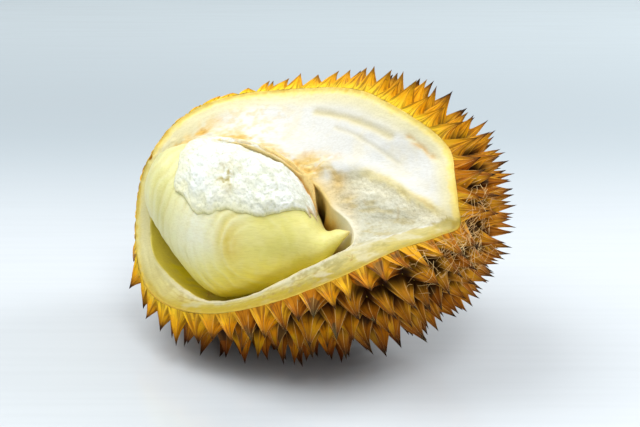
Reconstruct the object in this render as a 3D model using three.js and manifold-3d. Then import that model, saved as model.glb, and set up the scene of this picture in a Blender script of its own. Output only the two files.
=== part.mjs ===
// A piece of a durian, split open along its seams and lying on its spines.
//
// Three pieces: the husk, one solid with its spines, its white pith and the open
// chamber; the lobe of flesh in that chamber; and the torn pith that still lies
// on the lobe. Millimetres, +Z up, the floor at z = 0.
//
// The fruit has a frame of its own: X runs along its length, Y across it to the
// far side, and Z out of the opening. The group FRUIT turns that frame into place.
import * as THREE from "three";
import { ConvexHull } from "three/addons/math/ConvexHull.js";
import Module from "manifold-3d";

// ---- Driving dimensions -------------------------------------------------------

// The bare skin, without spines: half sizes along, across and deep.
const HALF = new THREE.Vector3(92.2, 63.3, 58.5);
const BARREL = 2.4; // 2 is an ellipsoid, more is a fuller barrel
const EGG = -0.06; // how much slimmer the +X end is, as a share

// How the fruit lies: its centre above the floor, and its three turns in degrees.
const CENTRE = new THREE.Vector3(-6.96, -4.05, 71.5);
const TURN = -12.7; // about the vertical
const DIP = -5.4; // its +X end up
const ROLL = 38.3; // the opening toward the near side

// Spines.
const SPACING = [[-1, 12.2], [-0.5, 11.4], [0.2, 10.9], [0.75, 9.8], [1, 8.4]]; // by x / HALF.x
const SPINE = 13.0; // height above the bare skin
const SPINE_SPREAD = 0.2; // share by which heights differ
const SPINE_SPACING = 10; // spacing at which spines have that height
const VALLEY = 2.0; // depth of the valleys below the bare skin
const FIRST_ROW = 0.52; // first row's distance from the rim, in spacings
const SECOND_ROW = 1.22; // nearest distance of any other spine from the rim
const JITTER = 0.18; // how far a spine strays from its place, in spacings
const LEAN_REACH = 18; // how far from the rim spines still lean away from it
const LEAN_ALONG = 0.14; // how much all spines lean toward +X
const LEAN_RANDOM = 0.2; // how much each leans its own way

// The rim of the skin around the opening: angle about the fruit's Z, angle from it,
// how much the spines there lean away from the opening, and how far apart they stand.
const RIM = [
  [-173, 99, 0.9, 10.5], [-152, 100, 0.35, 12], [-134, 93, 0.25, 11], [-115, 85, 0.3, 10],
  [-93, 73, 0.4, 9.2], [-71, 62.5, 0.4, 8.8], [-48, 58, 0.4, 8.6], [-31, 63.5, 0.4, 8.2],
  [-23, 67.5, 0.2, 7.8], [-15, 61, 0.2, 7.8], [-3, 55.8, 0.2, 8.2], [14, 54.2, 0.2, 8.4],
  [25, 50.2, 0.2, 8.5], [37, 47, 0.2, 8.6], [55, 49, 0.2, 8.6], [75, 60, 0.3, 8.6],
  [97, 70, 0.6, 8.8], [125, 73, 1.4, 9], [155, 86, 1.4, 9],
];

// The chamber: its deepest point, and its edge as [x, y, z] going round.
const CHAMBER = new THREE.Vector3(-8, -15.5, -42);
const CHAMBER_EDGE = [
  [-83, -7, -8], [-78, -22, -9], [-70, -31, -8], [-57, -42, -5], [-42, -50.5, -1],
  [-24, -52, 5], [-7, -49, 12], [9, -44, 19], [23, -39.5, 24], [33, -31, 23],
  [29.5, -19.5, 20.5], [20, -10.5, 19.5], [12.2, 0.2, 20.5], [1, 8, 22], [-11, 16, 24],
  [-28, 23, 25], [-50, 27, 23], [-70.6, 25, 14], [-81, 11, 1],
];
const WALL_POWER = [1.15, 4]; // power of the chamber's wall: gentle toward +X, steep elsewhere
const GENTLE_ANGLE = [12, 42]; // the gentle wall: all within the first, fading to the second
const RIDGES = [
  { height: 3.5, width: 5, line: [[14, 10], [32, 6.5], [48, 0], [64, -12], [80, -20]] },
  { height: 2, width: 4, line: [[30, -37], [49, -32], [62, -25], [76, -19.5]] },
]; // torn edges that stand up from the pith
const DISH = 3.0; // hollow of the white pith between chamber and rim
const CHAMBER_RINGS = 8; // rings of faces in the chamber
const PITH_RINGS = 7; // and on the pith

// The lobe, by its cross sections along X. Each is an ellipse in the plane of Y
// and Z turned by SECTION_TILT: [x, centre up, centre out, half height, half depth].
const SECTION_TILT = 30.3; // degrees
const LOBE = [
  [-83, 8, 2, 0, 0], [-80, 9, 3, 10, 8], [-73, 9, 6, 20, 15], [-62, 4, 7, 29, 22],
  [-50, -2, 7, 36, 28], [-40, -6, 6, 37.5, 30], [-27, -7, 6, 35.5, 30], [-13, -8, 7, 31, 27],
  [-1, -10, 10, 25, 22], [9, -14, 16, 16, 15], [16, -18, 21, 8.5, 9], [24, -13.5, 26, 4, 4.5],
  [31, -10.5, 30, 0, 0],
];
const LOBE_AROUND = 32; // faces around
const LOBE_ALONG = 26; // and along

// The torn pith on the lobe.
const CAP_X = [-57, 11]; // its ends
const CAP_UP = -1.5; // its lower edge, up in the lobe's sections
const CAP_LOWEST = 44; // the most that edge goes around them, in degrees
const CAP_CORNER = [22, 14]; // degrees by which that edge rises at the -X end, and over how far
const CAP_ANGLE = 86; // its upper edge, around the sections, in degrees
const CAP_THICK = 4.4;
const CAP_EDGE = 1.2; // thickness at its edges
const CAP_GAP = 0.4; // clearance above the lobe
const CAP_COLUMNS = 18;
const CAP_ROWS = 10;

const GAP = 1.2; // least clearance between the lobe and the husk

// ---- Small helpers --------------------------------------------------------------

const { degToRad, radToDeg, clamp, lerp, smoothstep } = THREE.MathUtils;

/** A repeatable number from 0 to 1 for item i, kind k. */
function chance(i, k) {
  const wave = Math.sin(i * 12.9898 + k * 78.233) * 43758.5453;
  return wave - Math.floor(wave);
}

/** Values at x of the smooth curve through rows of [x, value, ...], in order of x. */
function spline(rows, x) {
  let i = 1;
  while (i < rows.length - 3 && rows[i + 1][0] < x) i += 1;
  const [before, from, to, after] = rows.slice(i - 1, i + 3);
  const span = to[0] - from[0];
  const s = (x - from[0]) / span;
  return from.slice(1).map((value, k) => {
    const slopeFrom = ((to[k + 1] - before[k + 1]) / (to[0] - before[0])) * span;
    const slopeTo = ((after[k + 1] - value) / (after[0] - from[0])) * span;
    return (2 * s ** 3 - 3 * s ** 2 + 1) * value + (s ** 3 - 2 * s ** 2 + s) * slopeFrom
      + (3 * s ** 2 - 2 * s ** 3) * to[k + 1] + (s ** 3 - s ** 2) * slopeTo;
  });
}

/** The same rows with neighbours added a full turn before and after. */
function closed(rows) {
  const moved = (row, turn) => [row[0] + turn, ...row.slice(1)];
  const sorted = [...rows].sort((a, b) => a[0] - b[0]);
  return [
    moved(sorted.at(-2), -360), moved(sorted.at(-1), -360), ...sorted,
    moved(sorted[0], 360), moved(sorted[1], 360),
  ];
}

/** Rows with a straight neighbour added at each end. */
function open(rows) {
  const beyond = (end, next) => end.map((value, k) => 2 * value - next[k]);
  return [beyond(rows[0], rows[1]), ...rows, beyond(rows.at(-1), rows.at(-2))];
}

/** The point at an angle and radius around x, y. */
function polar(angle, x = 0, y = 0, radius = 1) {
  const a = degToRad(angle);
  return [x + radius * Math.cos(a), y + radius * Math.sin(a)];
}

// ---- Meshes under construction --------------------------------------------------

/** Points and triangles, gathered before they become one closed body. */
class Mesh {
  constructor() {
    this.points = [];
    this.faces = [];
  }

  add(point) {
    this.points.push(point);
    return this.points.length - 1;
  }

  triangle(a, b, c) {
    this.faces.push([a, b, c]);
  }

  quad(a, b, c, d) {
    this.triangle(a, b, c);
    this.triangle(a, c, d);
  }

  /** The loop of edges that only one face uses, run the way those faces run it. */
  openEdge() {
    const used = new Set();
    this.faces.forEach((face) => face.forEach((a, k) => used.add(`${a},${face[(k + 1) % 3]}`)));
    const next = new Map();
    this.faces.forEach((face) => face.forEach((a, k) => {
      const b = face[(k + 1) % 3];
      if (!used.has(`${b},${a}`)) next.set(b, a);
    }));
    const first = next.keys().next().value;
    const loop = [first];
    while (next.get(loop.at(-1)) !== first) loop.push(next.get(loop.at(-1)));
    return loop;
  }

  geometry() {
    const geometry = new THREE.BufferGeometry();
    geometry.setAttribute("position", new THREE.Float32BufferAttribute(
      this.points.flatMap((p) => [p.x, p.y, p.z]), 3));
    geometry.setIndex(this.faces.flat());
    return geometry;
  }
}

// ---- The skin and its rim -------------------------------------------------------

/** Point and outward normal of the bare skin in a direction of the unit sphere. */
function skin(direction) {
  const round = Math.hypot(direction.y, direction.z);
  const size = (Math.abs(direction.x) ** BARREL + round ** BARREL) ** (1 / BARREL);
  const x = direction.x / size;
  const girth = 1 + EGG * x;
  const point = new THREE.Vector3(
    HALF.x * x, HALF.y * girth * direction.y / size, HALF.z * girth * direction.z / size);
  const r = round / size;
  const normal = new THREE.Vector3(
    Math.sign(x) * Math.abs(x) ** (BARREL - 1) / HALF.x - r ** BARREL * EGG / (HALF.x * girth),
    r ** (BARREL - 2) * direction.y / size / (HALF.y * girth),
    r ** (BARREL - 2) * direction.z / size / (HALF.z * girth)).normalize();
  return { point, normal };
}

/** The direction of the unit sphere in which a point near the skin lies. */
function directionOf(point) {
  const girth = 1 + EGG * clamp(point.x / HALF.x, -1, 1);
  return new THREE.Vector3(
    point.x / HALF.x, point.y / (HALF.y * girth), point.z / (HALF.z * girth)).normalize();
}

/** The direction at an angle about Z and an angle from Z. */
function sphere(angle, fromZ) {
  const [x, y] = polar(angle, 0, 0, Math.sin(degToRad(fromZ)));
  return new THREE.Vector3(x, y, Math.cos(degToRad(fromZ)));
}

const RIM_ROWS = closed(RIM);
const SPACING_ROWS = open(SPACING);

/** The skin at the rim, and the lean and spacing of its spines. */
function rimAt(angle) {
  const [fromZ, lean, spacing] = spline(RIM_ROWS, angle);
  return { ...skin(sphere(angle, fromZ)), fromZ, lean, spacing };
}

/** Distance from spine to spine near a point away from the rim. */
function spacingAt(point) {
  return spline(SPACING_ROWS, point.x / HALF.x)[0];
}

// ---- Where the spines stand -----------------------------------------------------

/** First row: spines along the rim, each with a mirror image across the rim. */
function firstRow() {
  const spines = [];
  const mirrors = [];
  let due = 0.5;
  let from = rimAt(-180).point;
  for (let angle = -179.5; angle <= 180; angle += 0.5) {
    const { point, normal, lean, spacing } = rimAt(angle);
    due += point.distanceTo(from) / spacing;
    if (due >= 1) {
      due -= 1;
      const away = point.clone().sub(from).normalize().cross(normal);
      const fromRim = FIRST_ROW * spacing;
      const direction = directionOf(point.clone().addScaledVector(away, fromRim));
      spines.push({ direction, fromRim, rimLean: lean, spacing });
      mirrors.push(directionOf(point.clone().addScaledVector(away, -fromRim)));
    }
    from = point;
  }
  return { spines, mirrors };
}

/** A spiral of even spacing from the -X end to the +X end of the whole skin. */
function spiral() {
  const steps = 400;
  const golden = 180 * (3 - Math.sqrt(5));
  const directions = [];
  let wanted = 0;
  let last = skin(new THREE.Vector3(-1, 0, 0)).point;
  for (let i = 1; i <= steps; i += 1) {
    const a = Math.PI * (1 - i / steps);
    const { point } = skin(new THREE.Vector3(Math.cos(a), 0, Math.sin(a)));
    const area = 2 * Math.PI * (point.z + last.z) / 2 * point.distanceTo(last);
    wanted += area / (spacingAt(point) ** 2 * Math.sqrt(3) / 2);
    while (directions.length < wanted) {
      const [y, z] = polar(directions.length * golden, 0, 0, Math.sin(a));
      directions.push(new THREE.Vector3(Math.cos(a), y, z));
    }
    last = point;
  }
  return directions;
}

/** Moves a direction a little, by the jitter of spine i. */
function strayed(direction, i) {
  const { point } = skin(direction);
  const reach = 2 * JITTER * spacingAt(point);
  point.x += reach * (chance(i, 1) - 0.5);
  point.y += reach * (chance(i, 2) - 0.5);
  point.z += reach * (chance(i, 3) - 0.5);
  return directionOf(point);
}

/** All spines, the first row before the others, and the first row's mirror images. */
function spinePlaces() {
  const { spines, mirrors } = firstRow();
  const rim = Array.from({ length: 180 }, (_, i) => rimAt(2 * i - 180));
  spiral().map(strayed).forEach((direction) => {
    const { point } = skin(direction);
    const here = rimAt(radToDeg(Math.atan2(direction.y, direction.x)));
    const fromRim = Math.min(...rim.map((r) => r.point.distanceTo(point)));
    const below = radToDeg(Math.acos(direction.z)) > here.fromZ;
    const spacing = spacingAt(point);
    if (below && fromRim > SECOND_ROW * spacing) {
      spines.push({ direction, fromRim, rimLean: here.lean, spacing });
    }
  });
  return { spines, mirrors };
}

// ---- The spiny outside ----------------------------------------------------------

/** Triangles joining neighbouring places all over the sphere, counter-clockwise. */
function neighbourTriangles(directions) {
  const points = directions.map((direction, index) => Object.assign(direction.clone(), { index }));
  const hull = new ConvexHull().setFromPoints(points);
  return hull.faces.map((face) => {
    const corners = [];
    let edge = face.edge;
    do {
      corners.push(edge.head().point.index);
      edge = edge.next;
    } while (edge !== face.edge);
    return corners;
  });
}

/** The tip of spine i: out along the normal, with its lean. */
function spineTip({ direction, fromRim, rimLean, spacing }, i) {
  const { point, normal } = skin(direction);
  const size = Math.sqrt(spacing / SPINE_SPACING);
  const height = SPINE * size * (1 + SPINE_SPREAD * (2 * chance(i, 4) - 1));
  const lean = new THREE.Vector3(chance(i, 5) - 0.5, chance(i, 6) - 0.5, chance(i, 7) - 0.5);
  lean.multiplyScalar(2 * LEAN_RANDOM);
  lean.x += LEAN_ALONG;
  lean.z -= rimLean * Math.exp(-((fromRim / LEAN_REACH) ** 2));
  lean.addScaledVector(normal, -lean.dot(normal));
  return point.addScaledVector(normal.add(lean).normalize(), height);
}

/**
 * Adds the outside to a mesh under construction. Each spine is a pyramid over its
 * own cell. Cells meet at corners, one for each triangle of neighbours; a corner
 * between real spines and mirror images lies on the rim.
 */
function addOutside(mesh) {
  const { spines, mirrors } = spinePlaces();
  const directions = [...spines.map((spine) => spine.direction), ...mirrors];
  const around = spines.map(() => []);
  neighbourTriangles(directions).forEach((triangle) => {
    const real = triangle.filter((i) => i < spines.length);
    if (real.length === 0) return;
    const middle = new THREE.Vector3();
    triangle.forEach((i) => middle.add(directions[i]));
    const corner = mesh.add(real.length < 3 ? onRim(middle) : inValley(middle));
    real.forEach((i) => {
      const k = triangle.indexOf(i);
      around[i].push({ corner, from: triangle[(k + 1) % 3], to: triangle[(k + 2) % 3] });
    });
  });
  spines.forEach((spine, i) => {
    const corners = inOrder(around[i]);
    const tip = mesh.add(spineTip(spine, i));
    corners.forEach((corner, k) => mesh.triangle(corner, corners[(k + 1) % corners.length], tip));
  });
}

/** The rim's point in the direction of a corner. */
function onRim(middle) {
  return rimAt(radToDeg(Math.atan2(middle.y, middle.x))).point;
}

/** The valley between spines in the direction of a corner. */
function inValley(middle) {
  const { point, normal } = skin(middle.normalize());
  return point.addScaledVector(normal, -VALLEY);
}

/** Corners of one cell in order: each triangle ends where the next one begins. */
function inOrder(triangles) {
  const order = [triangles[0]];
  while (order.length < triangles.length) {
    order.push(triangles.find((t) => t.from === order.at(-1).to));
  }
  return order.map((t) => t.corner);
}

// ---- The inside of the husk -----------------------------------------------------

const EDGE_ROWS = closed(CHAMBER_EDGE.map(([x, y, z]) => {
  const dx = x - CHAMBER.x;
  const dy = y - CHAMBER.y;
  return [radToDeg(Math.atan2(dy, dx)), Math.hypot(dx, dy), z];
}));

/** The rim's distance and height seen from the chamber's centre, by angle. */
const RIM_SEEN = closed(Array.from({ length: 120 }, (_, i) => {
  const { point } = rimAt(3 * i - 180);
  const dx = point.x - CHAMBER.x;
  const dy = point.y - CHAMBER.y;
  return [radToDeg(Math.atan2(dy, dx)), Math.hypot(dx, dy), point.z];
}));

/** Height of the chamber's wall at a share of the way from its centre to its edge. */
function chamberHeight(angle, edgeHeight, share) {
  const power = lerp(...WALL_POWER, smoothstep(Math.abs(angle), ...GENTLE_ANGLE));
  return lerp(CHAMBER.z, edgeHeight, share ** power);
}

/** Distance from x, y to a line of points. */
function distanceToLine(x, y, line) {
  return Math.min(...line.slice(1).map(([bx, by], k) => {
    const [ax, ay] = line[k];
    const length = (bx - ax) ** 2 + (by - ay) ** 2;
    const share = clamp(((x - ax) * (bx - ax) + (y - ay) * (by - ay)) / length, 0, 1);
    return Math.hypot(x - lerp(ax, bx, share), y - lerp(ay, by, share));
  }));
}

/** Height of the pith at a share of the way from the chamber's edge to the rim. */
function pithHeight(angle, edgeHeight, rimHeight, share, x, y) {
  const far = smoothstep(angle, 10, 60) * (1 - smoothstep(angle, 140, 170));
  const ridges = RIDGES.reduce((sum, { height, width, line }) => (
    sum + height * Math.exp(-((distanceToLine(x, y, line) / width) ** 2))), 0);
  return lerp(edgeHeight, rimHeight, share) + 4 * share * (1 - share) * (ridges - DISH * far);
}

/** Height of the husk's inside above any x and y within the rim. */
function insideHeight(x, y) {
  const angle = radToDeg(Math.atan2(y - CHAMBER.y, x - CHAMBER.x));
  const radius = Math.hypot(x - CHAMBER.x, y - CHAMBER.y);
  const [edge, edgeHeight] = spline(EDGE_ROWS, angle);
  if (radius <= edge) return chamberHeight(angle, edgeHeight, radius / edge);
  const [rim, rimHeight] = spline(RIM_SEEN, angle);
  return pithHeight(angle, edgeHeight, rimHeight, (radius - edge) / (rim - edge), x, y);
}

/** Closes the husk with rings from its rim over the pith and down into the chamber. */
function addInside(mesh) {
  const rim = mesh.openEdge();
  const spokes = rim.map((index) => {
    const end = mesh.points[index];
    const angle = radToDeg(Math.atan2(end.y - CHAMBER.y, end.x - CHAMBER.x));
    const [edge, edgeHeight] = spline(EDGE_ROWS, angle);
    const reach = Math.hypot(end.x - CHAMBER.x, end.y - CHAMBER.y);
    return { end, angle, edge, edgeHeight, reach };
  });
  let outer = rim;
  const close = (pointOf) => {
    const inner = spokes.map((spoke) => mesh.add(new THREE.Vector3(...pointOf(spoke))));
    inner.forEach((_, k) => {
      const next = (k + 1) % inner.length;
      mesh.quad(outer[k], outer[next], inner[next], inner[k]);
    });
    outer = inner;
  };
  for (let ring = PITH_RINGS - 1; ring >= 0; ring -= 1) {
    const share = ring / PITH_RINGS;
    close(({ angle, edge, edgeHeight, reach, end }) => {
      const [x, y] = polar(angle, CHAMBER.x, CHAMBER.y, lerp(edge, reach, share));
      return [x, y, pithHeight(angle, edgeHeight, end.z, share, x, y)];
    });
  }
  for (let ring = CHAMBER_RINGS - 1; ring >= 1; ring -= 1) {
    const share = Math.sqrt(ring / CHAMBER_RINGS);
    close(({ angle, edge, edgeHeight }) => [
      ...polar(angle, CHAMBER.x, CHAMBER.y, edge * share),
      chamberHeight(angle, edgeHeight, share),
    ]);
  }
  const bottom = mesh.add(CHAMBER.clone());
  outer.forEach((index, k) => mesh.triangle(index, outer[(k + 1) % outer.length], bottom));
}

// ---- The lobe and the torn pith -------------------------------------------------

const LOBE_ROWS = open(LOBE);

/** Whether a point stands clear of the husk's inside. */
function isClear(point) {
  const step = 0.5;
  const here = insideHeight(point.x, point.y);
  const slope = Math.hypot(
    insideHeight(point.x + step, point.y) - here, insideHeight(point.x, point.y + step) - here);
  return point.z > here + GAP * Math.hypot(1, slope / step);
}

/**
 * A point of the lobe's skin by x and angle around, pushed out by some distance.
 * Where the husk is in the way, it is drawn in toward the section's middle.
 */
function lobePoint(x, angle, out = 0) {
  const [up, forward, height, depth] = spline(LOBE_ROWS, x);
  const tilt = degToRad(SECTION_TILT);
  const a = degToRad(angle);
  const at = (share) => {
    const p = up + share * Math.max(height + out, 0) * Math.sin(a);
    const q = forward + share * Math.max(depth + out, 0) * Math.cos(a);
    return new THREE.Vector3(
      x, p * Math.cos(tilt) - q * Math.sin(tilt), p * Math.sin(tilt) + q * Math.cos(tilt));
  };
  let share = 1;
  while (share > 0.1 && !isClear(at(share))) share -= 0.01;
  return at(share);
}

/** The whole lobe, as rings around X from one pointed end to the other. */
function lobeMesh() {
  const mesh = new Mesh();
  const first = LOBE[0][0];
  const last = LOBE.at(-1)[0];
  const start = mesh.add(lobePoint(first, 0));
  let previous = null;
  for (let i = 1; i < LOBE_ALONG; i += 1) {
    const x = lerp(first, last, (1 - Math.cos(Math.PI * i / LOBE_ALONG)) / 2);
    const ring = [];
    for (let k = 0; k < LOBE_AROUND; k += 1) {
      ring.push(mesh.add(lobePoint(x, 360 * k / LOBE_AROUND)));
    }
    ring.forEach((index, k) => {
      const next = (k + 1) % LOBE_AROUND;
      if (previous) mesh.quad(previous[k], ring[k], ring[next], previous[next]);
      else mesh.triangle(start, index, ring[next]);
    });
    previous = ring;
  }
  const end = mesh.add(lobePoint(last, 0));
  previous.forEach((index, k) => mesh.triangle(end, previous[(k + 1) % LOBE_AROUND], index));
  return mesh;
}

/** Angle around the lobe's section at x that the cap's lower edge takes. */
function capLowerAngle(x) {
  const [up, , height] = spline(LOBE_ROWS, x);
  const lowest = Math.min(radToDeg(Math.asin(Math.min((CAP_UP - up) / height, 1))), CAP_LOWEST);
  return lowest + CAP_CORNER[0] * (1 - smoothstep(x, CAP_X[0], CAP_X[0] + CAP_CORNER[1]));
}

/** A patch on the lobe, thick in the middle and thin along its four edges. */
function capMesh() {
  const mesh = new Mesh();
  const columns = CAP_COLUMNS;
  const rows = CAP_ROWS;
  const grid = (outOf) => Array.from({ length: columns + 1 }, (_, i) => (
    Array.from({ length: rows + 1 }, (_, k) => {
      const s = i / columns;
      const t = k / rows;
      const x = lerp(CAP_X[0], CAP_X[1], s);
      const angle = lerp(capLowerAngle(x), CAP_ANGLE, t);
      const edge = Math.min(1, 4 * Math.min(s, 1 - s), 4 * Math.min(t, 1 - t));
      return mesh.add(lobePoint(x, angle, outOf(edge)));
    })));
  const under = grid(() => CAP_GAP);
  const over = grid((edge) => CAP_GAP + lerp(CAP_EDGE, CAP_THICK, Math.sqrt(edge)));
  for (let i = 0; i < columns; i += 1) {
    for (let k = 0; k < rows; k += 1) {
      mesh.quad(over[i][k], over[i + 1][k], over[i + 1][k + 1], over[i][k + 1]);
      mesh.quad(under[i][k], under[i][k + 1], under[i + 1][k + 1], under[i + 1][k]);
    }
    mesh.quad(under[i][0], under[i + 1][0], over[i + 1][0], over[i][0]);
    mesh.quad(over[i][rows], over[i + 1][rows], under[i + 1][rows], under[i][rows]);
  }
  for (let k = 0; k < rows; k += 1) {
    mesh.quad(under[0][k], over[0][k], over[0][k + 1], under[0][k + 1]);
    mesh.quad(over[columns][k], under[columns][k], under[columns][k + 1], over[columns][k + 1]);
  }
  return mesh;
}

// ---- Finished pieces ------------------------------------------------------------

/** Cuts a mesh flat where the floor crosses it. */
async function cutAtFloor(mesh, floorNormal, floorOffset) {
  const wasm = await Module();
  wasm.setup();
  const solid = new wasm.Manifold(new wasm.Mesh({
    numProp: 3,
    vertProperties: new Float32Array(mesh.points.flatMap((p) => [p.x, p.y, p.z])),
    triVerts: new Uint32Array(mesh.faces.flat()),
  }));
  const cut = solid.trimByPlane(floorNormal.toArray(), floorOffset).getMesh();
  const geometry = new THREE.BufferGeometry();
  geometry.setAttribute("position", new THREE.BufferAttribute(cut.vertProperties, cut.numProp));
  geometry.setIndex(new THREE.BufferAttribute(cut.triVerts, 1));
  return geometry;
}

/** A named mesh in one colour. */
function piece(name, geometry, color, roughness) {
  geometry.computeVertexNormals();
  const material = new THREE.MeshStandardMaterial({ color, roughness, metalness: 0 });
  const mesh = new THREE.Mesh(geometry, material);
  mesh.name = name;
  return mesh;
}

// ---- The fruit ------------------------------------------------------------------

const fruit = new THREE.Group();
fruit.position.copy(CENTRE);
fruit.rotation.set(degToRad(ROLL), degToRad(DIP), degToRad(TURN), "ZYX");

const huskMesh = new Mesh();
addOutside(huskMesh);
addInside(huskMesh);
const up = new THREE.Vector3(0, 0, 1).applyQuaternion(fruit.quaternion.clone().invert());
const husk = await cutAtFloor(huskMesh, up, -CENTRE.z);

fruit.add(piece("husk", husk, 0xb07a24, 0.7));
fruit.add(piece("flesh_lobe", lobeMesh().geometry(), 0xdbd479, 0.4));
fruit.add(piece("torn_pith", capMesh().geometry(), 0xf0f2e5, 0.8));

const root = new THREE.Group();
root.add(fruit);

export default root;
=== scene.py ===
"""A durian opened along its seams, lying on its spines: its looks, around its solids.

The fruit is worked out in a frame of its own, in millimetres: X along its length, Y across
it to the far side, Z out of the opening. to_world() turns that frame into place, in metres.
"""
from functools import reduce

import bmesh
import bpy
import numpy as np
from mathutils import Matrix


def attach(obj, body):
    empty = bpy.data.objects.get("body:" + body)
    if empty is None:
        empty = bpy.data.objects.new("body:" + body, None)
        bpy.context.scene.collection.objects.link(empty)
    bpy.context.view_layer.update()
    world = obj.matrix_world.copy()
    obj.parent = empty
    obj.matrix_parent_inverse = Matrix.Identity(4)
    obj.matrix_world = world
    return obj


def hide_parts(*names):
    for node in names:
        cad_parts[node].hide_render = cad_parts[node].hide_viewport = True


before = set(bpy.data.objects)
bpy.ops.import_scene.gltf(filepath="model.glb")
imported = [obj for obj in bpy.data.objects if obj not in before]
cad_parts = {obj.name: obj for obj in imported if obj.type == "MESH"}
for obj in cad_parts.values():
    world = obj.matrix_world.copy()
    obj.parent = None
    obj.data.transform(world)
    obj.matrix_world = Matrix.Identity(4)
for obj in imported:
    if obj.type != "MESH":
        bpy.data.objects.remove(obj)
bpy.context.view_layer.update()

# ---- Measures shared with the solids ----------------------------------------------------

HALF = np.array([92.2, 63.3, 58.5])  # bare skin, half sizes
BARREL = 2.4  # power of the skin: 2 is an ellipsoid, and more is squarer
EGG = -0.06  # how much wider it is at its +X end
CENTRE = np.array([-6.96, -4.05, 71.5])  # where its middle is placed
TURN, DIP, ROLL = np.radians([-12.7, -5.4, 38.3])  # about Z, Y and X

SPACING = [(-1, 12.2), (-0.5, 11.4), (0.2, 10.9), (0.75, 9.8), (1, 8.4)]  # by x / HALF x
SPINE, SPINE_SPREAD, SPINE_SPACING = 13.0, 0.2, 10  # height, its spread, and for what spacing
VALLEY = 2.0  # depth between spines, under the bare skin
FIRST_ROW, SECOND_ROW = 0.52, 1.22  # distance from the rim, in spacings
JITTER = 0.18  # straying off the spiral, in spacings
LEAN_REACH = 18  # how far from the rim spines lean as the rim says
LEAN_ALONG, LEAN_RANDOM = 0.14, 0.2  # toward +X, and any way

RIM = [  # angle about Z, angle from Z, lean of its spines away from the opening, spacing
    (-173, 99, 0.9, 10.5), (-152, 100, 0.35, 12), (-134, 93, 0.25, 11), (-115, 85, 0.3, 10),
    (-93, 73, 0.4, 9.2), (-71, 62.5, 0.4, 8.8), (-48, 58, 0.4, 8.6), (-31, 63.5, 0.4, 8.2),
    (-23, 67.5, 0.2, 7.8), (-15, 61, 0.2, 7.8), (-3, 55.8, 0.2, 8.2), (14, 54.2, 0.2, 8.4),
    (25, 50.2, 0.2, 8.5), (37, 47, 0.2, 8.6), (55, 49, 0.2, 8.6), (75, 60, 0.3, 8.6),
    (97, 70, 0.6, 8.8), (125, 73, 1.4, 9), (155, 86, 1.4, 9),
]
CHAMBER = np.array([-8.0, -15.5, -42.0])  # the deepest place
CHAMBER_EDGE = [  # from the left end round the front
    (-83, -7, -8), (-78, -22, -9), (-70, -31, -8), (-57, -42, -5), (-42, -50.5, -1),
    (-24, -52, 5), (-7, -49, 12), (9, -44, 19), (23, -39.5, 24), (33, -31, 23), (29.5, -19.5, 20.5),
    (20, -10.5, 19.5), (12.2, 0.2, 20.5), (1, 8, 22), (-11, 16, 24), (-28, 23, 25), (-50, 27, 23),
    (-70.6, 25, 14), (-81, 11, 1),
]
WALL_POWER = (1.15, 4)  # how steeply its wall ends, toward +X and elsewhere
GENTLE_ANGLE = (12, 42)  # degrees from +X over which that changes
RIDGES = [  # height, width, line
    (3.5, 5, [(14, 10), (32, 6.5), (48, 0), (64, -12), (80, -20)]),
    (2, 4, [(30, -37), (49, -32), (62, -25), (76, -19.5)]),
]
DISH = 3.0  # hollow of the far pith

SECTION_TILT = np.radians(30.3)  # of the lobe, toward the opening
LOBE = [  # x, centre up, centre out, half height, half depth
    (-83, 8, 2, 0, 0), (-80, 9, 3, 10, 8), (-73, 9, 6, 20, 15), (-62, 4, 7, 29, 22),
    (-50, -2, 7, 36, 28), (-40, -6, 6, 37.5, 30), (-27, -7, 6, 35.5, 30),
    (-13, -8, 7, 31, 27), (-1, -10, 10, 25, 22), (9, -14, 16, 16, 15),
    (16, -18, 21, 8.5, 9), (24, -13.5, 26, 4, 4.5), (31, -10.5, 30, 0, 0),
]
CAP_X = (-57, 11)  # ends of the torn pith
CAP_UP = -1.5  # height of its lower edge in the lobe's sections
CAP_LOWEST, CAP_ANGLE = 44, 86  # degrees around: most for its lower edge, and its upper edge
CAP_CORNER = (22, 14)  # degrees by which its left corner is higher, and how long that is
GAP = 1.2  # from the lobe to the husk

# ---- Arithmetic -------------------------------------------------------------------------


def turned(x, y, z):
    """Turn about X, then about Y, then about Z, as one matrix."""
    cx, cy, cz = np.cos([x, y, z])
    sx, sy, sz = np.sin([x, y, z])
    about_x = np.array([[1, 0, 0], [0, cx, -sx], [0, sx, cx]])
    about_y = np.array([[cy, 0, sy], [0, 1, 0], [-sy, 0, cy]])
    about_z = np.array([[cz, -sz, 0], [sz, cz, 0], [0, 0, 1]])
    return about_z @ about_y @ about_x


FRUIT_TURN = turned(ROLL, DIP, TURN)


def to_world(points):
    """Fruit millimetres to world metres; what would be under the floor is laid on it."""
    world = (points @ FRUIT_TURN.T + CENTRE) / 1000
    world[..., 2] = np.maximum(world[..., 2], 0)
    return world


def stack(*parts):
    """Coordinates side by side in the last axis, each spread to the common shape."""
    return np.stack(np.broadcast_arrays(*parts), axis=-1)


def unit(vectors):
    """Vectors at length one."""
    return vectors / np.linalg.norm(vectors, axis=-1, keepdims=True)


def dot(a, b):
    """Products of vectors pair by pair, kept as a last axis of one."""
    return (a * b).sum(axis=-1, keepdims=True)


def mix(a, b, share):
    """From a to b."""
    return a + (b - a) * share


def step(value, low, high):
    """0 below low, 1 above high, and a smooth rise between."""
    share = np.clip((value - low) / (high - low), 0, 1)
    return share * share * (3 - 2 * share)


def bell(value, width=1):
    """1 at 0, falling away on both sides, to 0.37 at the width."""
    return np.exp(-((value / width) ** 2))


def chance(index, kind):
    """A repeatable number from 0 to 1 for each index, of one kind."""
    wave = np.sin(index * 12.9898 + kind * 78.233) * 43758.5453
    return wave - np.floor(wave)


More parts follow.
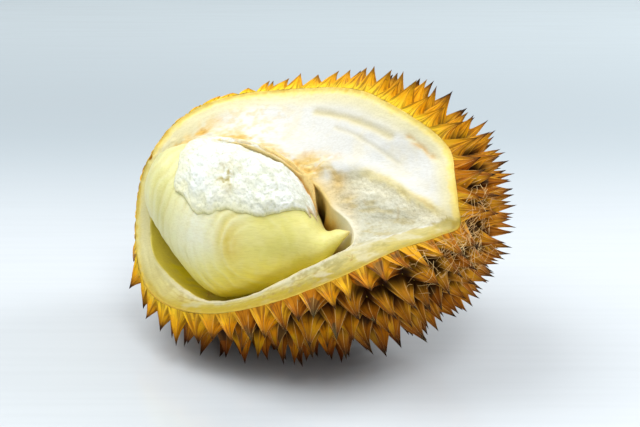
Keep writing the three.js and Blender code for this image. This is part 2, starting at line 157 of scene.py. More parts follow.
def spline(rows, at):
    """Smooth curve through rows of (place, value, ...): cubic, sloped as its neighbours."""
    rows = np.asarray(rows, float)
    i = np.clip(np.searchsorted(rows[:, 0], at, side="left") - 1, 1, len(rows) - 3)
    before, start, end, after = (rows[i + k] for k in (-1, 0, 1, 2))
    span = end[..., :1] - start[..., :1]
    s = (np.asarray(at)[..., None] - start[..., :1]) / span
    slope_start = (end - before) / (end[..., :1] - before[..., :1]) * span
    slope_end = (after - start) / (after[..., :1] - start[..., :1]) * span
    value = (
        (2 * s**3 - 3 * s**2 + 1) * start + (s**3 - 2 * s**2 + s) * slope_start
        + (3 * s**2 - 2 * s**3) * end + (s**3 - s**2) * slope_end
    )
    return np.moveaxis(value[..., 1:], -1, 0)


def closed(rows):
    """The same rows in order, with neighbours added a full turn before and after."""
    rows = np.array(sorted(map(tuple, rows)), float)
    turn = np.zeros(rows.shape[1])
    turn[0] = 360
    return np.vstack([rows[-2:] - turn, rows, rows[:2] + turn])


def opened(rows):
    """The same rows with a straight neighbour added at each end."""
    rows = np.asarray(rows, float)
    return np.vstack([2 * rows[0] - rows[1], rows, 2 * rows[-1] - rows[-2]])


def angle_about(x, y):
    """Angle in degrees from +X toward +Y."""
    return np.degrees(np.arctan2(y, x))


def noise(points, size, seed=0):
    """Smooth noise from -1 to 1: random values on a lattice of this size, blended between."""
    at = points / size + seed * 17.31
    cell = np.floor(at)
    part = at - cell
    part = part * part * (3 - 2 * part)
    total = np.zeros(points.shape[:-1])
    for corner in range(8):
        offset = np.array([corner & 1, corner >> 1 & 1, corner >> 2 & 1])
        place = (cell + offset) @ np.array([127.1, 311.7, 74.7])
        value = np.sin(place) * 43758.5453
        weight = np.where(offset, part, 1 - part).prod(axis=-1)
        total += weight * (2 * (value - np.floor(value)) - 1)
    return total


def rough(points, size, seed=0, octaves=3):
    """Noise with finer and weaker noise added, each octave half the size of the last."""
    return sum(noise(points, size / 2**k, seed + k) / 2**k for k in range(octaves))


def line_distance(x, y, line):
    """Distance from each x, y to the nearest place on a line of points."""
    nearest = np.full(np.broadcast(x, y).shape, np.inf)
    for (ax, ay), (bx, by) in zip(line, line[1:]):
        dx, dy = bx - ax, by - ay
        share = np.clip(((x - ax) * dx + (y - ay) * dy) / (dx * dx + dy * dy), 0, 1)
        nearest = np.minimum(nearest, np.hypot(x - ax - share * dx, y - ay - share * dy))
    return nearest


# ---- The skin and its rim ---------------------------------------------------------------


def skin(direction):
    """Superellipsoid barrel, slimmer toward +X: its point and outward normal that way."""
    x, y, z = np.moveaxis(direction, -1, 0)
    around = np.hypot(y, z)
    size = (np.abs(x) ** BARREL + around**BARREL) ** (1 / BARREL)
    x, y, z, around = x / size, y / size, z / size, around / size
    girth = 1 + EGG * x
    point = stack(HALF[0] * x, HALF[1] * girth * y, HALF[2] * girth * z)
    fullness = around ** (BARREL - 2)
    normal = stack(
        np.sign(x) * np.abs(x) ** (BARREL - 1) / HALF[0]
        - around**BARREL * EGG / (HALF[0] * girth),
        fullness * y / (HALF[1] * girth),
        fullness * z / (HALF[2] * girth),
    )
    return point, unit(normal)


def direction_of(point):
    """The direction of the unit sphere in which a point near the skin lies."""
    girth = 1 + EGG * np.clip(point[..., 0] / HALF[0], -1, 1)
    return unit(stack(
        point[..., 0] / HALF[0], point[..., 1] / (HALF[1] * girth),
        point[..., 2] / (HALF[2] * girth),
    ))


def sphere(angle, from_z):
    """The direction at an angle about Z and an angle from Z, in degrees."""
    a, b = np.radians(angle), np.radians(from_z)
    return stack(np.cos(a) * np.sin(b), np.sin(a) * np.sin(b), np.cos(b))


def rim_at(angle):
    """Skin point and normal at the rim, its angle from Z, and its spines' lean and spacing."""
    from_z, lean, spacing = spline(closed(RIM), angle)
    point, normal = skin(sphere(angle, from_z))
    return point, normal, from_z, lean, spacing


def spacing_at(point):
    """Distance from spine to spine near a point away from the rim."""
    return spline(opened(SPACING), point[..., 0] / HALF[0])[0]


def rim_distance(point):
    """Distance from each point to the rim."""
    rim = rim_at(np.arange(-180.0, 180, 2))[0]
    return np.linalg.norm(point[..., None, :] - rim, axis=-1).min(axis=-1)


# ---- Where the spines stand -------------------------------------------------------------


def first_row():
    """Spines a spacing apart along the rim, just outside it, and their mirror images."""
    angle = np.arange(-180, 180.25, 0.5)
    point, normal, _, lean, spacing = rim_at(angle)
    leg = np.diff(point, axis=0)
    due = 0.5 + np.cumsum(np.linalg.norm(leg, axis=1) / spacing[1:])
    here = np.append(False, np.floor(due) > np.floor(np.append(0.5, due[:-1])))
    away = np.cross(unit(leg), normal[1:])[here[1:]]
    point, lean, spacing = point[here], lean[here], spacing[here]
    off = FIRST_ROW * spacing
    real = direction_of(point + away * off[:, None])
    return real, off, lean, spacing, direction_of(point - away * off[:, None])


def spiral():
    """Directions on a golden-angle spiral from -X to +X, each with the same area of skin."""
    steps = 400
    a = np.pi * (1 - np.arange(steps + 1) / steps)
    profile = skin(stack(np.cos(a), 0 * a, np.sin(a)))[0]
    leg = np.linalg.norm(np.diff(profile, axis=0), axis=1)
    height = profile[:, 2]
    area = 2 * np.pi * (height[1:] + height[:-1]) / 2 * leg
    wanted = np.cumsum(area / (spacing_at(profile[1:]) ** 2 * np.sqrt(3) / 2))
    index = np.arange(int(np.ceil(wanted[-1])))
    a = a[1 + np.searchsorted(wanted, index, side="right")]
    turn = np.radians(index * 180 * (3 - np.sqrt(5)))
    return stack(np.cos(a), np.sin(a) * np.cos(turn), np.sin(a) * np.sin(turn))


def spine_places():
    """Spines: direction, distance from the rim, rim's lean, spacing; and mirror images."""
    real, off, lean, spacing, mirrors = first_row()
    straying = spiral()
    point = skin(straying)[0]
    index = np.arange(len(point))
    stray = stack(*(chance(index, kind) - 0.5 for kind in (1, 2, 3)))
    straying = direction_of(point + 2 * JITTER * spacing_at(point)[:, None] * stray)
    point = skin(straying)[0]
    _, _, from_z, rim_lean, _ = rim_at(angle_about(straying[:, 0], straying[:, 1]))
    from_rim, wide = rim_distance(point), spacing_at(point)
    kept = np.degrees(np.arccos(straying[:, 2])) > from_z
    kept &= from_rim > SECOND_ROW * wide
    return (
        np.vstack([real, straying[kept]]), np.append(off, from_rim[kept]),
        np.append(lean, rim_lean[kept]), np.append(spacing, wide[kept]), mirrors,
    )


def neighbour_triangles(directions):
    """Triangles joining neighbouring directions all over the sphere, turned outward."""
    mesh = bmesh.new()
    corners = [mesh.verts.new(direction) for direction in directions]
    mesh.verts.index_update()
    bmesh.ops.convex_hull(mesh, input=corners)
    triangles = np.array([[v.index for v in face.verts] for face in mesh.faces])
    mesh.free()
    a, b, c = (directions[triangles[:, k]] for k in range(3))
    inward = (np.cross(b - a, c - a) * (a + b + c)).sum(axis=1) < 0
    triangles[inward] = triangles[inward][:, ::-1]
    return triangles


def spine_tips(direction, from_rim, rim_lean, spacing):
    """Foot at the skin, its normal, and the tip: out along the normal, with its lean."""
    point, normal = skin(direction)
    index = np.arange(len(point))
    height = SPINE * np.sqrt(spacing / SPINE_SPACING)
    height *= 1 + SPINE_SPREAD * (2 * chance(index, 4) - 1)
    lean = 2 * LEAN_RANDOM * stack(*(chance(index, kind) - 0.5 for kind in (5, 6, 7)))
    lean[:, 0] += LEAN_ALONG
    lean[:, 2] -= rim_lean * bell(from_rim, LEAN_REACH)
    lean -= normal * dot(lean, normal)
    return point, normal, point + unit(normal + lean) * height[:, None]


def spine_flanks():
    """
    One flank for each pair of neighbours: the spine it belongs to, and the two corners of
    its foot. A corner belongs to a triangle of neighbours; it lies in the valley between
    spines, or on the rim where one of the three is a mirror image.
    """
    *spines, mirrors = spine_places()
    direction = spines[0]
    count = len(direction)
    everyone = np.vstack([direction, mirrors])
    triangles = neighbour_triangles(everyone)
    triangles = triangles[(triangles < count).any(axis=1)]
    middle = everyone[triangles].sum(axis=1)
    point, normal = skin(unit(middle))
    on_rim = (triangles >= count).any(axis=1)
    rim = rim_at(angle_about(middle[:, 0], middle[:, 1]))[0]
    corner = np.where(on_rim[:, None], rim, point - VALLEY * normal)
    start = triangles.ravel()
    end = np.roll(triangles, -1, axis=1).ravel()
    owner = np.repeat(np.arange(len(triangles)), 3)
    total = len(everyone)
    order = np.argsort(end * total + start)
    back = np.searchsorted((end * total + start)[order], start * total + end)
    back = owner[order[np.minimum(back, len(order) - 1)]]
    real = start < count
    return {
        "spine": start[real], "corners": (corner[back[real]], corner[owner[real]]),
        "at_rim": (on_rim[back[real]], on_rim[owner[real]]),
        "feet": spine_tips(*spines),
    }


# ---- The inside of the husk -------------------------------------------------------------

EDGE_ROWS = closed([
    (angle_about(x - CHAMBER[0], y - CHAMBER[1]), np.hypot(x - CHAMBER[0], y - CHAMBER[1]), z)
    for x, y, z in CHAMBER_EDGE
])
_rim = rim_at(np.arange(-180.0, 180, 3))[0]
_seen = _rim - CHAMBER
RIM_ROWS = closed(np.column_stack([
    angle_about(_seen[:, 0], _seen[:, 1]), np.hypot(_seen[:, 0], _seen[:, 1]), _rim[:, 2],
]))


def chamber_height(angle, edge_height, share):
    """The chamber's wall: deepest at its centre, rising as a power of the way to its edge."""
    power = mix(*WALL_POWER, step(np.abs(angle), *GENTLE_ANGLE))
    return mix(CHAMBER[2], edge_height, share**power)


def pith_height(angle, edge_height, rim_height, share, x, y):
    """The pith: straight from the chamber's edge to the rim, dished, with torn ridges."""
    far = step(angle, 10, 60) * (1 - step(angle, 140, 170))
    ridges = sum(
        height * bell(line_distance(x, y, line), width)
        for height, width, line in RIDGES
    )
    return mix(edge_height, rim_height, share) + 4 * share * (1 - share) * (ridges - DISH * far)


def inside_height(x, y):
    """Height of the husk's inside at any x and y within the rim."""
    angle = angle_about(x - CHAMBER[0], y - CHAMBER[1])
    radius = np.hypot(x - CHAMBER[0], y - CHAMBER[1])
    edge, edge_height = spline(EDGE_ROWS, angle)
    rim, rim_height = spline(RIM_ROWS, angle)
    share = radius / edge
    beyond = np.clip((radius - edge) / (rim - edge), 0, 1)
    return np.where(
        share <= 1, chamber_height(angle, edge_height, np.minimum(share, 1)),
        pith_height(angle, edge_height, rim_height, beyond, x, y),
    )


# ---- Meshes -----------------------------------------------------------------------------

WELD = 2e-6  # metres


def piece(name, points, faces, values=None, layouts=None, sharp=None, weld=0.0):
    """
    A mesh object at the origin, from fruit points. Values are kept at its points, and
    layouts, two numbers for each point, at the corners of its faces.
    """
    mesh = bpy.data.meshes.new(name)
    mesh.from_pydata(to_world(points).tolist(), [], faces.tolist())
    for key, value in (values or {}).items():
        colour = value.ndim == 2
        layer = mesh.attributes.new(key, "FLOAT_COLOR" if colour else "FLOAT", "POINT")
        if colour:
            value = np.column_stack([value, np.ones(len(value))])
        layer.data.foreach_set("color" if colour else "value", value.astype("f").ravel())
    for key, value in (layouts or {}).items():
        layer = mesh.uv_layers.new(name=key)
        layer.data.foreach_set("uv", value[faces.ravel()].astype("f").ravel())
    if weld:
        work = bmesh.new()
        work.from_mesh(mesh)
        bmesh.ops.remove_doubles(work, verts=work.verts, dist=weld)
        bmesh.ops.dissolve_degenerate(work, edges=work.edges, dist=1e-7)
        work.to_mesh(mesh)
        work.free()
    mesh.polygons.foreach_set("use_smooth", np.ones(len(mesh.polygons), bool))
    if sharp:
        mesh.set_sharp_from_angle(angle=np.radians(sharp))
    mesh.update()
    obj = bpy.data.objects.new(name, mesh)
    bpy.context.collection.objects.link(obj)
    return obj


def grid_faces(rows, columns, around=False, flip=False):
    """Quads of a grid of rows by columns; around joins its last column to its first."""
    i, k = np.meshgrid(np.arange(rows - 1), np.arange(columns - (not around)), indexing="ij")
    here, beside = i * columns + k, i * columns + (k + 1) % columns
    quads = stack(here, beside, beside + columns, here + columns).reshape(-1, 4)
    return quads[:, ::-1] if flip else quads


def triangle_cut(quads):
    """Each quad as two triangles."""
    return np.vstack([quads[:, [0, 1, 2]], quads[:, [0, 2, 3]]])


def srgb(red, green, blue):
    """A colour written 0 to 255, as linear light."""
    value = np.array([red, green, blue]) / 255
    return np.where(value > 0.04045, ((value + 0.055) / 1.055) ** 2.4, value / 12.92)


def paint(colour, *layers):
    """Colours at points: each layer is (share at each point, colour) over those before."""
    for share, over in layers:
        over = srgb(*over) if isinstance(over, tuple) else over
        colour = mix(colour, over, np.clip(share, 0, 1)[..., None])
    return colour


# ---- Rind -------------------------------------------------------------------------------

ALONG, UP = 6, 7  # steps along a flank's foot, and up it
SLENDER = 1.22  # power by which a spine narrows
HOLLOW = 0.24  # how far a flank is hollowed, as a share
HOOK = 1.9  # power by which a spine bends toward its lean
SADDLE = 0.8  # rise of a foot between its corners
GAP_DEPTH = 1.6  # further down between the spines, away from the rim
WAVES = 0.22  # unevenness of a flank's foot
RIND_THICK, RIND_EDGE = 5.5, 0.3  # at its hidden back, and at the rim
BACK_ROWS, BACK_ANGLE = 14, 3  # and degrees from point to point


def below_rim(points):
    """How many degrees further from Z than the rim the points lie."""
    x, y, z = np.moveaxis(direction_of(points), -1, 0)
    return np.degrees(np.arccos(np.clip(z, -1, 1))) - rim_at(angle_about(x, y))[2]


def flank_points(flanks, t, r):
    """
    Flanks by place along the foot, t, and way up, r: the spine's middle line, hooked toward
    its lean, plus the foot's offset from it, which shrinks as a power of 1 - r, and more
    between the ridges, where the flank is hollow.
    """
    foot, normal, tip = (part[flanks["spine"]] for part in flanks["feet"])
    start, end = flanks["corners"]
    edge = mix(start[:, None], end[:, None], t)
    toward = direction_of(edge)
    sunk = GAP_DEPTH * step(below_rim(edge)[..., None], 2, 10)
    lift = (SADDLE * 4 * t * (1 - t) - sunk) * skin(toward)[1]
    at_rim = (flanks["at_rim"][0] & flanks["at_rim"][1])[:, None, None]
    rim = rim_at(angle_about(toward[..., 0], toward[..., 1]))[0]
    edge = np.where(at_rim, rim, edge + lift)
    low = foot - VALLEY * normal
    reach = tip - low
    straight = normal * dot(reach, normal)
    line = (
        low[:, None, None] + straight[:, None, None] * r[..., None]
        + (reach - straight)[:, None, None] * r[..., None] ** HOOK
    )
    hollow = HOLLOW * (0.5 + chance(np.arange(len(foot)), 11))[:, None, None]
    between = 4 * t * (1 - t) * (1 - (1 - r) ** 4)
    shrink = (1 - r) ** SLENDER * (1 - hollow * between)
    points = line + (edge - low[:, None])[:, :, None] * shrink[..., None]
    uneven = stack(*(rough(points, 4.5, seed) for seed in (1, 2, 3)))
    return points + WAVES * (1 - r[..., None]) ** 0.5 * uneven


def flank_values(points):
    """
    Degrees below the rim, and how golden, dull and pale the rind is: golden by the rim, most
    on the far side and at the left, dull at the right end, and pale by the rim at the left.
    """
    x, y, _ = np.moveaxis(points, -1, 0)
    below, far, left = below_rim(points), step(y, 5, 35), step(-x, 15, 70)
    gold = step(below, 40, 5) * mix(0.35, 1, np.maximum(far, 0.8 * left))
    gold = np.maximum(np.maximum(gold, 0.5 * left), 0.7 * far * step(below, 75, 30))
    dull = step(x, 10, 62) * (1 - 0.8 * far)
    pale = step(below, 26, 8) * np.maximum(step(-x, 20, 62) * step(y, -25, 0), 0.5 * far)
    return {"below": below, "gold": gold, "dull": dull, "pale": pale}


def rind():
    """Spines over the whole skin, a grid for each flank, and the rind's hidden back."""
    flanks = spine_flanks()
    count, size = len(flanks["spine"]), (ALONG + 1) * (UP + 1)
    t = np.linspace(0, 1, ALONG + 1)[None, :, None]
    r = np.linspace(0, 1, UP + 1)[None, None, :]
    points = flank_points(flanks, t, r)
    faces = grid_faces(ALONG + 1, UP + 1, flip=True) + size * np.arange(count)[:, None, None]
    back, back_faces = rind_back(count * size)
    own, side = (
        chance(index, kind)[:, None, None]
        for index, kind in ((flanks["spine"], 9), (np.arange(count), 10))
    )
    every = np.zeros(points.shape[:-1])
    values = {
        key: np.append(value, np.zeros(len(back)))
        for key, value in flank_values(points).items()
    }
    layouts = {
        key: np.vstack([pair.reshape(-1, 2), np.zeros((len(back), 2))])
        for key, pair in (("flank", stack(t + every, r)), ("spine", stack(own + every, side)))
    }
    points = np.vstack([points.reshape(-1, 3), back])
    faces = np.vstack([faces.reshape(-1, 4), back_faces])
    return piece("spiny_rind", points, faces, values, layouts, sharp=24, weld=WELD)


def rind_back(first):
    """The rind's hidden inner side, from just inside the rim to the pole under the fruit."""
    angle = np.arange(-180.0, 180, BACK_ANGLE)
    share = np.linspace(0, 1, BACK_ROWS)[:, None]
    point, normal = skin(sphere(angle + 0 * share, mix(rim_at(angle)[2], 180, share)))
    depth = mix(RIND_EDGE, RIND_THICK, step(share, 0, 0.1))
    points = (point - normal * depth[..., None]).reshape(-1, 3)
    return points, grid_faces(BACK_ROWS, len(angle), around=True) + first


# ---- Pith and chamber -------------------------------------------------------------------

AROUND = 540  # points in a ring
CHAMBER_ROWS, PITH_ROWS, HIDDEN_ROWS = 50, 104, 10
LIP = (0.25, 0.6, 1.5)  # how far its two rows are in from the rim, and the second one down
HIDDEN_IN, HIDDEN_DOWN = 3.2, 4  # millimetres under the skin, and degrees below the rim
CREST = [  # the torn crest between the white pith and the coarse pith, from left to right
    (-90, 30), (-50, 28), (-28, 24), (-11, 17), (1, 10), (16, 10.5), (33, 5), (48, -1.5),
    (60, -10.5), (71, -16.2), (84, -21),
]
FRONT_RIDGE = RIDGES[1][2]
GROOVES = [  # depth, half width, line
    (1.1, 1.7, [(6, 44), (13.4, 41.5), (22.7, 36.6), (31.6, 30.6), (40, 25), (48, 20)]),
    (0.8, 1.4, [(57, 19), (63.2, 14.5), (67.2, 11.3), (71, 8.2)]),
    (0.5, 1.1, [(18, 32), (30, 24), (42, 15), (52, 8)]),
]
STAINS = [  # x, y, reach, strength
    (-55, 36, 4.2, 1.0), (-26, 26.5, 5, 0.5), (-13, 18.5, 4, 0.75), (-3, 12.5, 3.5, 0.9),
    (10, 9.5, 3, 0.6), (-47, 43, 5, 0.3), (5, 19, 4, 0.35), (-66, 32, 5, 0.55),
    (-36, 30, 5, 0.35), (20, 14, 4, 0.3), (38, -3, 4, 0.25),
]


def pith():
    """
    The husk's inside on rings around the chamber's middle: the chamber's wall out to its
    edge, the pith out to the rim, and a lip that turns down over the rim's edge.
    """
    angle = np.linspace(-180, 180, AROUND, endpoint=False)
    edge, edge_height = spline(EDGE_ROWS, angle)
    rim, rim_height = spline(RIM_ROWS, angle)
    out = np.stack([np.cos(np.radians(angle)), np.sin(np.radians(angle))])
    inner = np.sqrt(np.linspace(0, 1, CHAMBER_ROWS + 1))[1:-1, None]
    outer = np.linspace(0, 1, PITH_ROWS + 1)[:, None]
    radius = np.vstack([edge * inner, mix(edge, rim, outer)])
    x, y = CHAMBER[0] + radius * out[0], CHAMBER[1] + radius * out[1]
    high = x[len(inner):], y[len(inner):]
    height = np.vstack([
        chamber_height(angle, edge_height, inner),
        pith_height(angle, edge_height, rim_height, outer, *high),
    ])
    share = np.vstack([inner - 1, outer]) * np.ones(AROUND)
    from_rim = np.maximum((1 - share) * (rim - edge), 0)
    flat = stack(x, y, 0 * x)
    zones = pith_zones(x, y, share, from_rim, angle, flat)
    points = stack(x, y, height + pith_relief(x, y, share, from_rim, flat, zones))
    colour = pith_colour(x, y, share, from_rim, flat, zones)
    extra = pith_turned_down(points[-1])
    points = np.concatenate([points, extra])
    colour = np.concatenate([colour, np.repeat(colour[-1:], len(extra), axis=0)])
    flat_points = np.vstack([points.reshape(-1, 3), CHAMBER])
    faces = grid_faces(len(points), AROUND, around=True, flip=True)
    ring = np.arange(AROUND)
    fan = stack(ring, np.roll(ring, -1), np.full(AROUND, len(flat_points) - 1))
    values = {"colour": np.vstack([colour.reshape(-1, 3), colour[0, :1]])}
    for key, value in (("coarse", zones["coarse"]), ("damp", step(-share, 0.0, 0.12))):
        value = np.vstack([value, np.zeros((len(extra), AROUND))])
        values[key] = np.append(value, value[0, 0])
    return piece("pith", flat_points, np.vstack([triangle_cut(faces), fan]), values, weld=WELD)


def pith_turned_down(rim):
    """Rings beyond the rim: a lip over its edge, and the hidden side down to the pole."""
    toward = direction_of(rim)
    normal = skin(toward)[1]
    lip = np.stack([rim - LIP[0] * normal, rim - LIP[1] * normal - [0, 0, LIP[2]]])
    angle = angle_about(toward[:, 0], toward[:, 1])
    sink = np.linspace(0, 1, HIDDEN_ROWS)[:, None]
    from_z = mix(rim_at(angle)[2] + HIDDEN_DOWN, 180, sink)
    point, normal = skin(sphere(angle + 0 * sink, from_z))
    return np.concatenate([lip, point - HIDDEN_IN * normal])


def pith_zones(x, y, share, from_rim, angle, flat):
    """
    Shares of the pith that are coarse, torn by the crest, in the pocket by the horn, behind
    the lobe, far and in front, and how far beyond the crest it lies, in millimetres.
    """
    crest_y = np.interp(x, *zip(*CREST))
    front_y = np.interp(x, *zip(*FRONT_RIDGE))
    wander = 2.2 * rough(flat, 8, 4)
    beyond = y - crest_y + wander
    coarse = step(-beyond, -1.0, 2.5) * step(x + wander, 13, 24) * step(share, 0, 0.06)
    coarse *= step(y - front_y + 0.6 * wander, -1.5, 1.5) * step(from_rim, 1, 7)
    torn = bell(beyond, 6.5) * step(x, 26, 8) * step(share, 0, 0.04)
    pocket = step(angle, -34, -14) * (1 - step(angle, 70, 96)) * step(-share, -0.16, 0.02)
    return {
        "beyond": beyond, "coarse": coarse, "torn": torn, "pocket": pocket * np.ones(x.shape),
        "behind": step(angle, 50, 66) * (1 - step(angle, 150, 172)) * np.ones(x.shape),
        "far": step(beyond, -1, 3) * step(share, 0, 0.05),
        "front": step(-angle, 12, 34) * step(angle, -180, -158) * np.ones(x.shape)
        * step(share, 0, 0.02),
    }


def pith_relief(x, y, share, from_rim, flat, zones):
    """Heights added to the pith, in millimetres: coarse and torn parts, grooves, fine rings."""
    coarse = zones["coarse"] * (0.9 * rough(flat * [0.45, 1, 1], 4.5, 21, 4) - 0.7)
    torn = zones["torn"] * 1.5 * rough(flat, 4.2, 31, 4)
    far = zones["far"] * 0.35 * rough(flat * [0.5, 1, 1], 8, 41, 3)
    rings = 0.09 * np.sin(from_rim * 2.0 + 4 * rough(flat, 16, 51)) * step(
        rough(flat, 11, 52), -0.4, 0.6)
    rings *= step(from_rim, 24, 4) * step(from_rim, 0.5, 2.5) * step(share, 0, 0.1)
    wall = step(-share, 0.0, 0.1) * 0.35 * rough(flat, 6, 61, 3)
    edge = 0.8 * noise(flat, 3.2, 71) * bell(share, 0.05) * (1 - zones["front"] * 0.6)
    worn = -0.5 * bell(from_rim - 1.6, 1.3) * (share > 0)
    lip = 0.7 * zones["front"] * bell(share - 0.12, 0.1)
    grooves = -sum(
        depth * bell(line_distance(x + 0.5 * noise(flat, 5, 81), y, line), half)
        for depth, half, line in GROOVES
    ) * step(share, 0, 0.05)
    relief = coarse + torn + far + rings + wall + edge + lip + grooves + worn
    return relief * np.where(share > 0, step(from_rim, 0, 1.2), 1)


def pith_colour(x, y, share, from_rim, flat, zones):
    """Colours of the pith, the rim's band and the chamber's wall."""
    blotch = rough(flat, 9, 5, 4)
    fine = rough(flat, 2.4, 6, 3)
    strands = rough(flat * [0.3, 1, 1], 2.6, 15, 4)
    ridge = line_distance(x, y + 0.6 * fine, CREST[5:])
    inside = step(share, 0.0, 0.03)
    names = "coarse", "torn", "pocket", "behind", "front", "far"
    coarse, torn, pocket, behind, front, far = (zones[name] for name in names)
    stains = sum(
        strength * bell(np.hypot(x - sx, 1.5 * (y - sy)), reach)
        for sx, sy, reach, strength in STAINS
    )
    groove = sum(
        depth * bell(line_distance(x, y, line), 1.2 * half)
        for depth, half, line in GROOVES
    )
    left = step(-x, 30, 75)
    crease = line_distance(x, y + 0.5 * fine, FRONT_RIDGE)
    fore = step(np.interp(x, *zip(*FRONT_RIDGE)) - y + 0.8 * fine, -0.5, 1.2) * step(x, 18, 34)
    band = np.maximum(front, 0.9 * fore) * inside
    return paint(
        srgb(229, 229, 223) + 0 * x[..., None],
        (0.55 * far * step(blotch, -0.1, 0.9), (234, 228, 204)),
        (0.85 * left * inside, (218, 203, 132)),
        (0.5 * step(-x, -6, 30) * far * step(fine + 0.6 * blotch, -0.2, 0.8), (226, 204, 140)),
        (torn * step(blotch + 0.5 * fine, -0.8, 0.4), (234, 216, 158)),
        (torn * step(strands + 0.7 * blotch, 0.0, 0.8), (222, 186, 100)),
        (1.2 * stains * step(blotch + fine, -1.6, 0.0), (228, 184, 92)),
        (0.8 * stains * step(blotch + 1.5 * fine, 0.2, 1.2), (194, 142, 56)),
        (0.6 * groove, (216, 202, 140)),
        (0.9 * bell(line_distance(x, y, GROOVES[1][2]), 1.5) * step(fine, -0.5, 0.6),
         (220, 164, 90)),
        (0.9 * coarse, (210, 208, 184)),
        (0.7 * coarse * step(blotch, -0.2, 0.7), (198, 194, 160)),
        (0.7 * coarse * step(strands, 0.1, 0.7), (202, 190, 142)),
        (0.6 * coarse * step(-strands, 0.25, 0.9), (236, 236, 222)),
        (0.5 * coarse * step(fine, 0.4, 1.1), (190, 172, 124)),
        (0.85 * coarse * step(x + 3 * blotch, 36, 16), (228, 194, 118)),
        # painted light: the slope just below the crest is lightened against its shade
        (0.9 * coarse * bell(zones["beyond"] + 3.5, 5) * step(x, 22, 36),
         (246, 241, 214)),
        (0.7 * bell(ridge - 0.6, 1.5) * step(x, 26, 44), (246, 230, 156)),
        (0.4 * step(ridge, 1.1, 0.3) * step(x, 40, 52) * step(blotch, -0.2, 0.6),
         (226, 194, 112)),
        (inside * (1 - front) * step(from_rim, 13, 4), (236, 228, 184)),
        (inside * step(from_rim + fine, 5, 1) * (1 - front), (250, 228, 132)),
        (band * step(from_rim, 26, 9), (214, 205, 150)),
        (band * step(from_rim + 1.2 * fine, 12, 3.5), (178, 158, 50)),
        (0.6 * band * step(np.sin(from_rim * 2.2 + 2.5 * blotch), 0.1, 0.9)
         * step(from_rim, 16, 6), (176, 154, 70)),
        (0.6 * band * step(blotch + fine, 0.1, 0.9) * step(from_rim, 18, 8), (160, 132, 54)),
        (0.5 * band * step(strands - blotch, 0.1, 0.8), (190, 188, 158)),
        (0.6 * fore * inside, (208, 192, 112)),
        (0.75 * front * (1 - fore) * step(share + 0.03 * fine, 0.24, 0.1)
         * step(share, 0.0, 0.05), (222, 214, 186)),
        (0.5 * step(crease, 1.0, 0.3) * step(x, 44, 54) * step(fine, -0.6, 0.6) * inside,
         (168, 140, 66)),
        (0.6 * band * step(strands + 0.5 * blotch, 0.0, 0.7) * step(x, -10, 30),
         (222, 216, 184)),
        (0.5 * band * step(fine - strands, 0.3, 1.1) * step(x, -20, 30), (166, 158, 96)),
        (0.6 * inside * step(-x, 52, 70) * (1 - far), (206, 198, 134)),
        (0.85 * band * step(from_rim + 0.8 * fine, 5, 1.5), (186, 160, 56)),
        ((0.8 - 0.3 * far + 0.4 * blotch) * step(from_rim + 0.9 * fine, 1.5, 0.1) * (share > 0),
         mix(srgb(208, 178, 66), srgb(240, 192, 66), far[..., None])),
        (step(-share, -0.03, 0.01), (234, 216, 84)),
        (0.9 * step(-share, 0.3, 0.75), (214, 184, 44)),
        (0.85 * step(-share, 0.02, 0.12) * step(blotch + fine, -0.5, 0.4), (255, 236, 36)),
        (0.6 * step(-share, 0.08, 0.3) * step(fine - blotch, 0.1, 0.7), (168, 140, 18)),
        (behind * step(-share, -0.03, 0.01), (228, 206, 148)),
        (behind * step(-share + 0.05 * fine, 0.04, 0.25), (180, 136, 66)),
        (0.95 * pocket,
         mix(srgb(236, 206, 132), srgb(236, 230, 204), step(x, 16, 26)[..., None])),
        (pocket * step(-share + 0.08 * fine, 0.02, 0.2) * mix(1, 0.12, step(x, 14, 24)),
         (240, 190, 88)),
        # painted shade: darker brown deep down in the pocket
        (pocket * step(-share + 0.04 * fine, 0.44, 0.75) * mix(1, 0.2, step(x, 10, 20)),
         (170, 108, 32)),
    )


# ---- Lobe and torn pith -----------------------------------------------------------------

DRAW_IN, DRAWN = 0.01, 90  # share by which it is drawn in at a time, and how often at most


def lobe_surface(x, angle, out=0.0):
    """
    The lobe's skin by x and angle around, pushed out by a distance: an ellipse in a plane
    tilted toward the opening, drawn in toward its middle where the husk is in the way.
    """
    up, forward, height, depth = spline(opened(LOBE), x)
    a = np.radians(angle)
    across = np.maximum(height + out, 0) * np.sin(a)
    deep = np.maximum(depth + out, 0) * np.cos(a)
    cos, sin = np.cos(SECTION_TILT), np.sin(SECTION_TILT)

    def at(share):
        """The sections shrunk to a share of their size, tilted toward the opening."""
        p, q = up + share * across, forward + share * deep
        return stack(x, p * cos - q * sin, p * sin + q * cos)

    share = np.ones(np.broadcast(x, a).shape)
    nudge = 0.5
    for _ in range(DRAWN):
        point = at(share)
        here = inside_height(point[..., 0], point[..., 1])
        slope = np.hypot(
            inside_height(point[..., 0] + nudge, point[..., 1]) - here,
            inside_height(point[..., 0], point[..., 1] + nudge) - here,
        ) / nudge
        inside = (point[..., 2] <= here + GAP * np.hypot(1, slope)) & (share > 0.1)
        if not inside.any():
            break
        share = share - DRAW_IN * inside
    return at(share)


LOBE_GRID = (220, 210)  # steps along, and around
FOLD_CENTRE = (-16.4, -18.7)  # x and height in the sections around which its folds bend
FOLD = 5.2  # from fold to fold


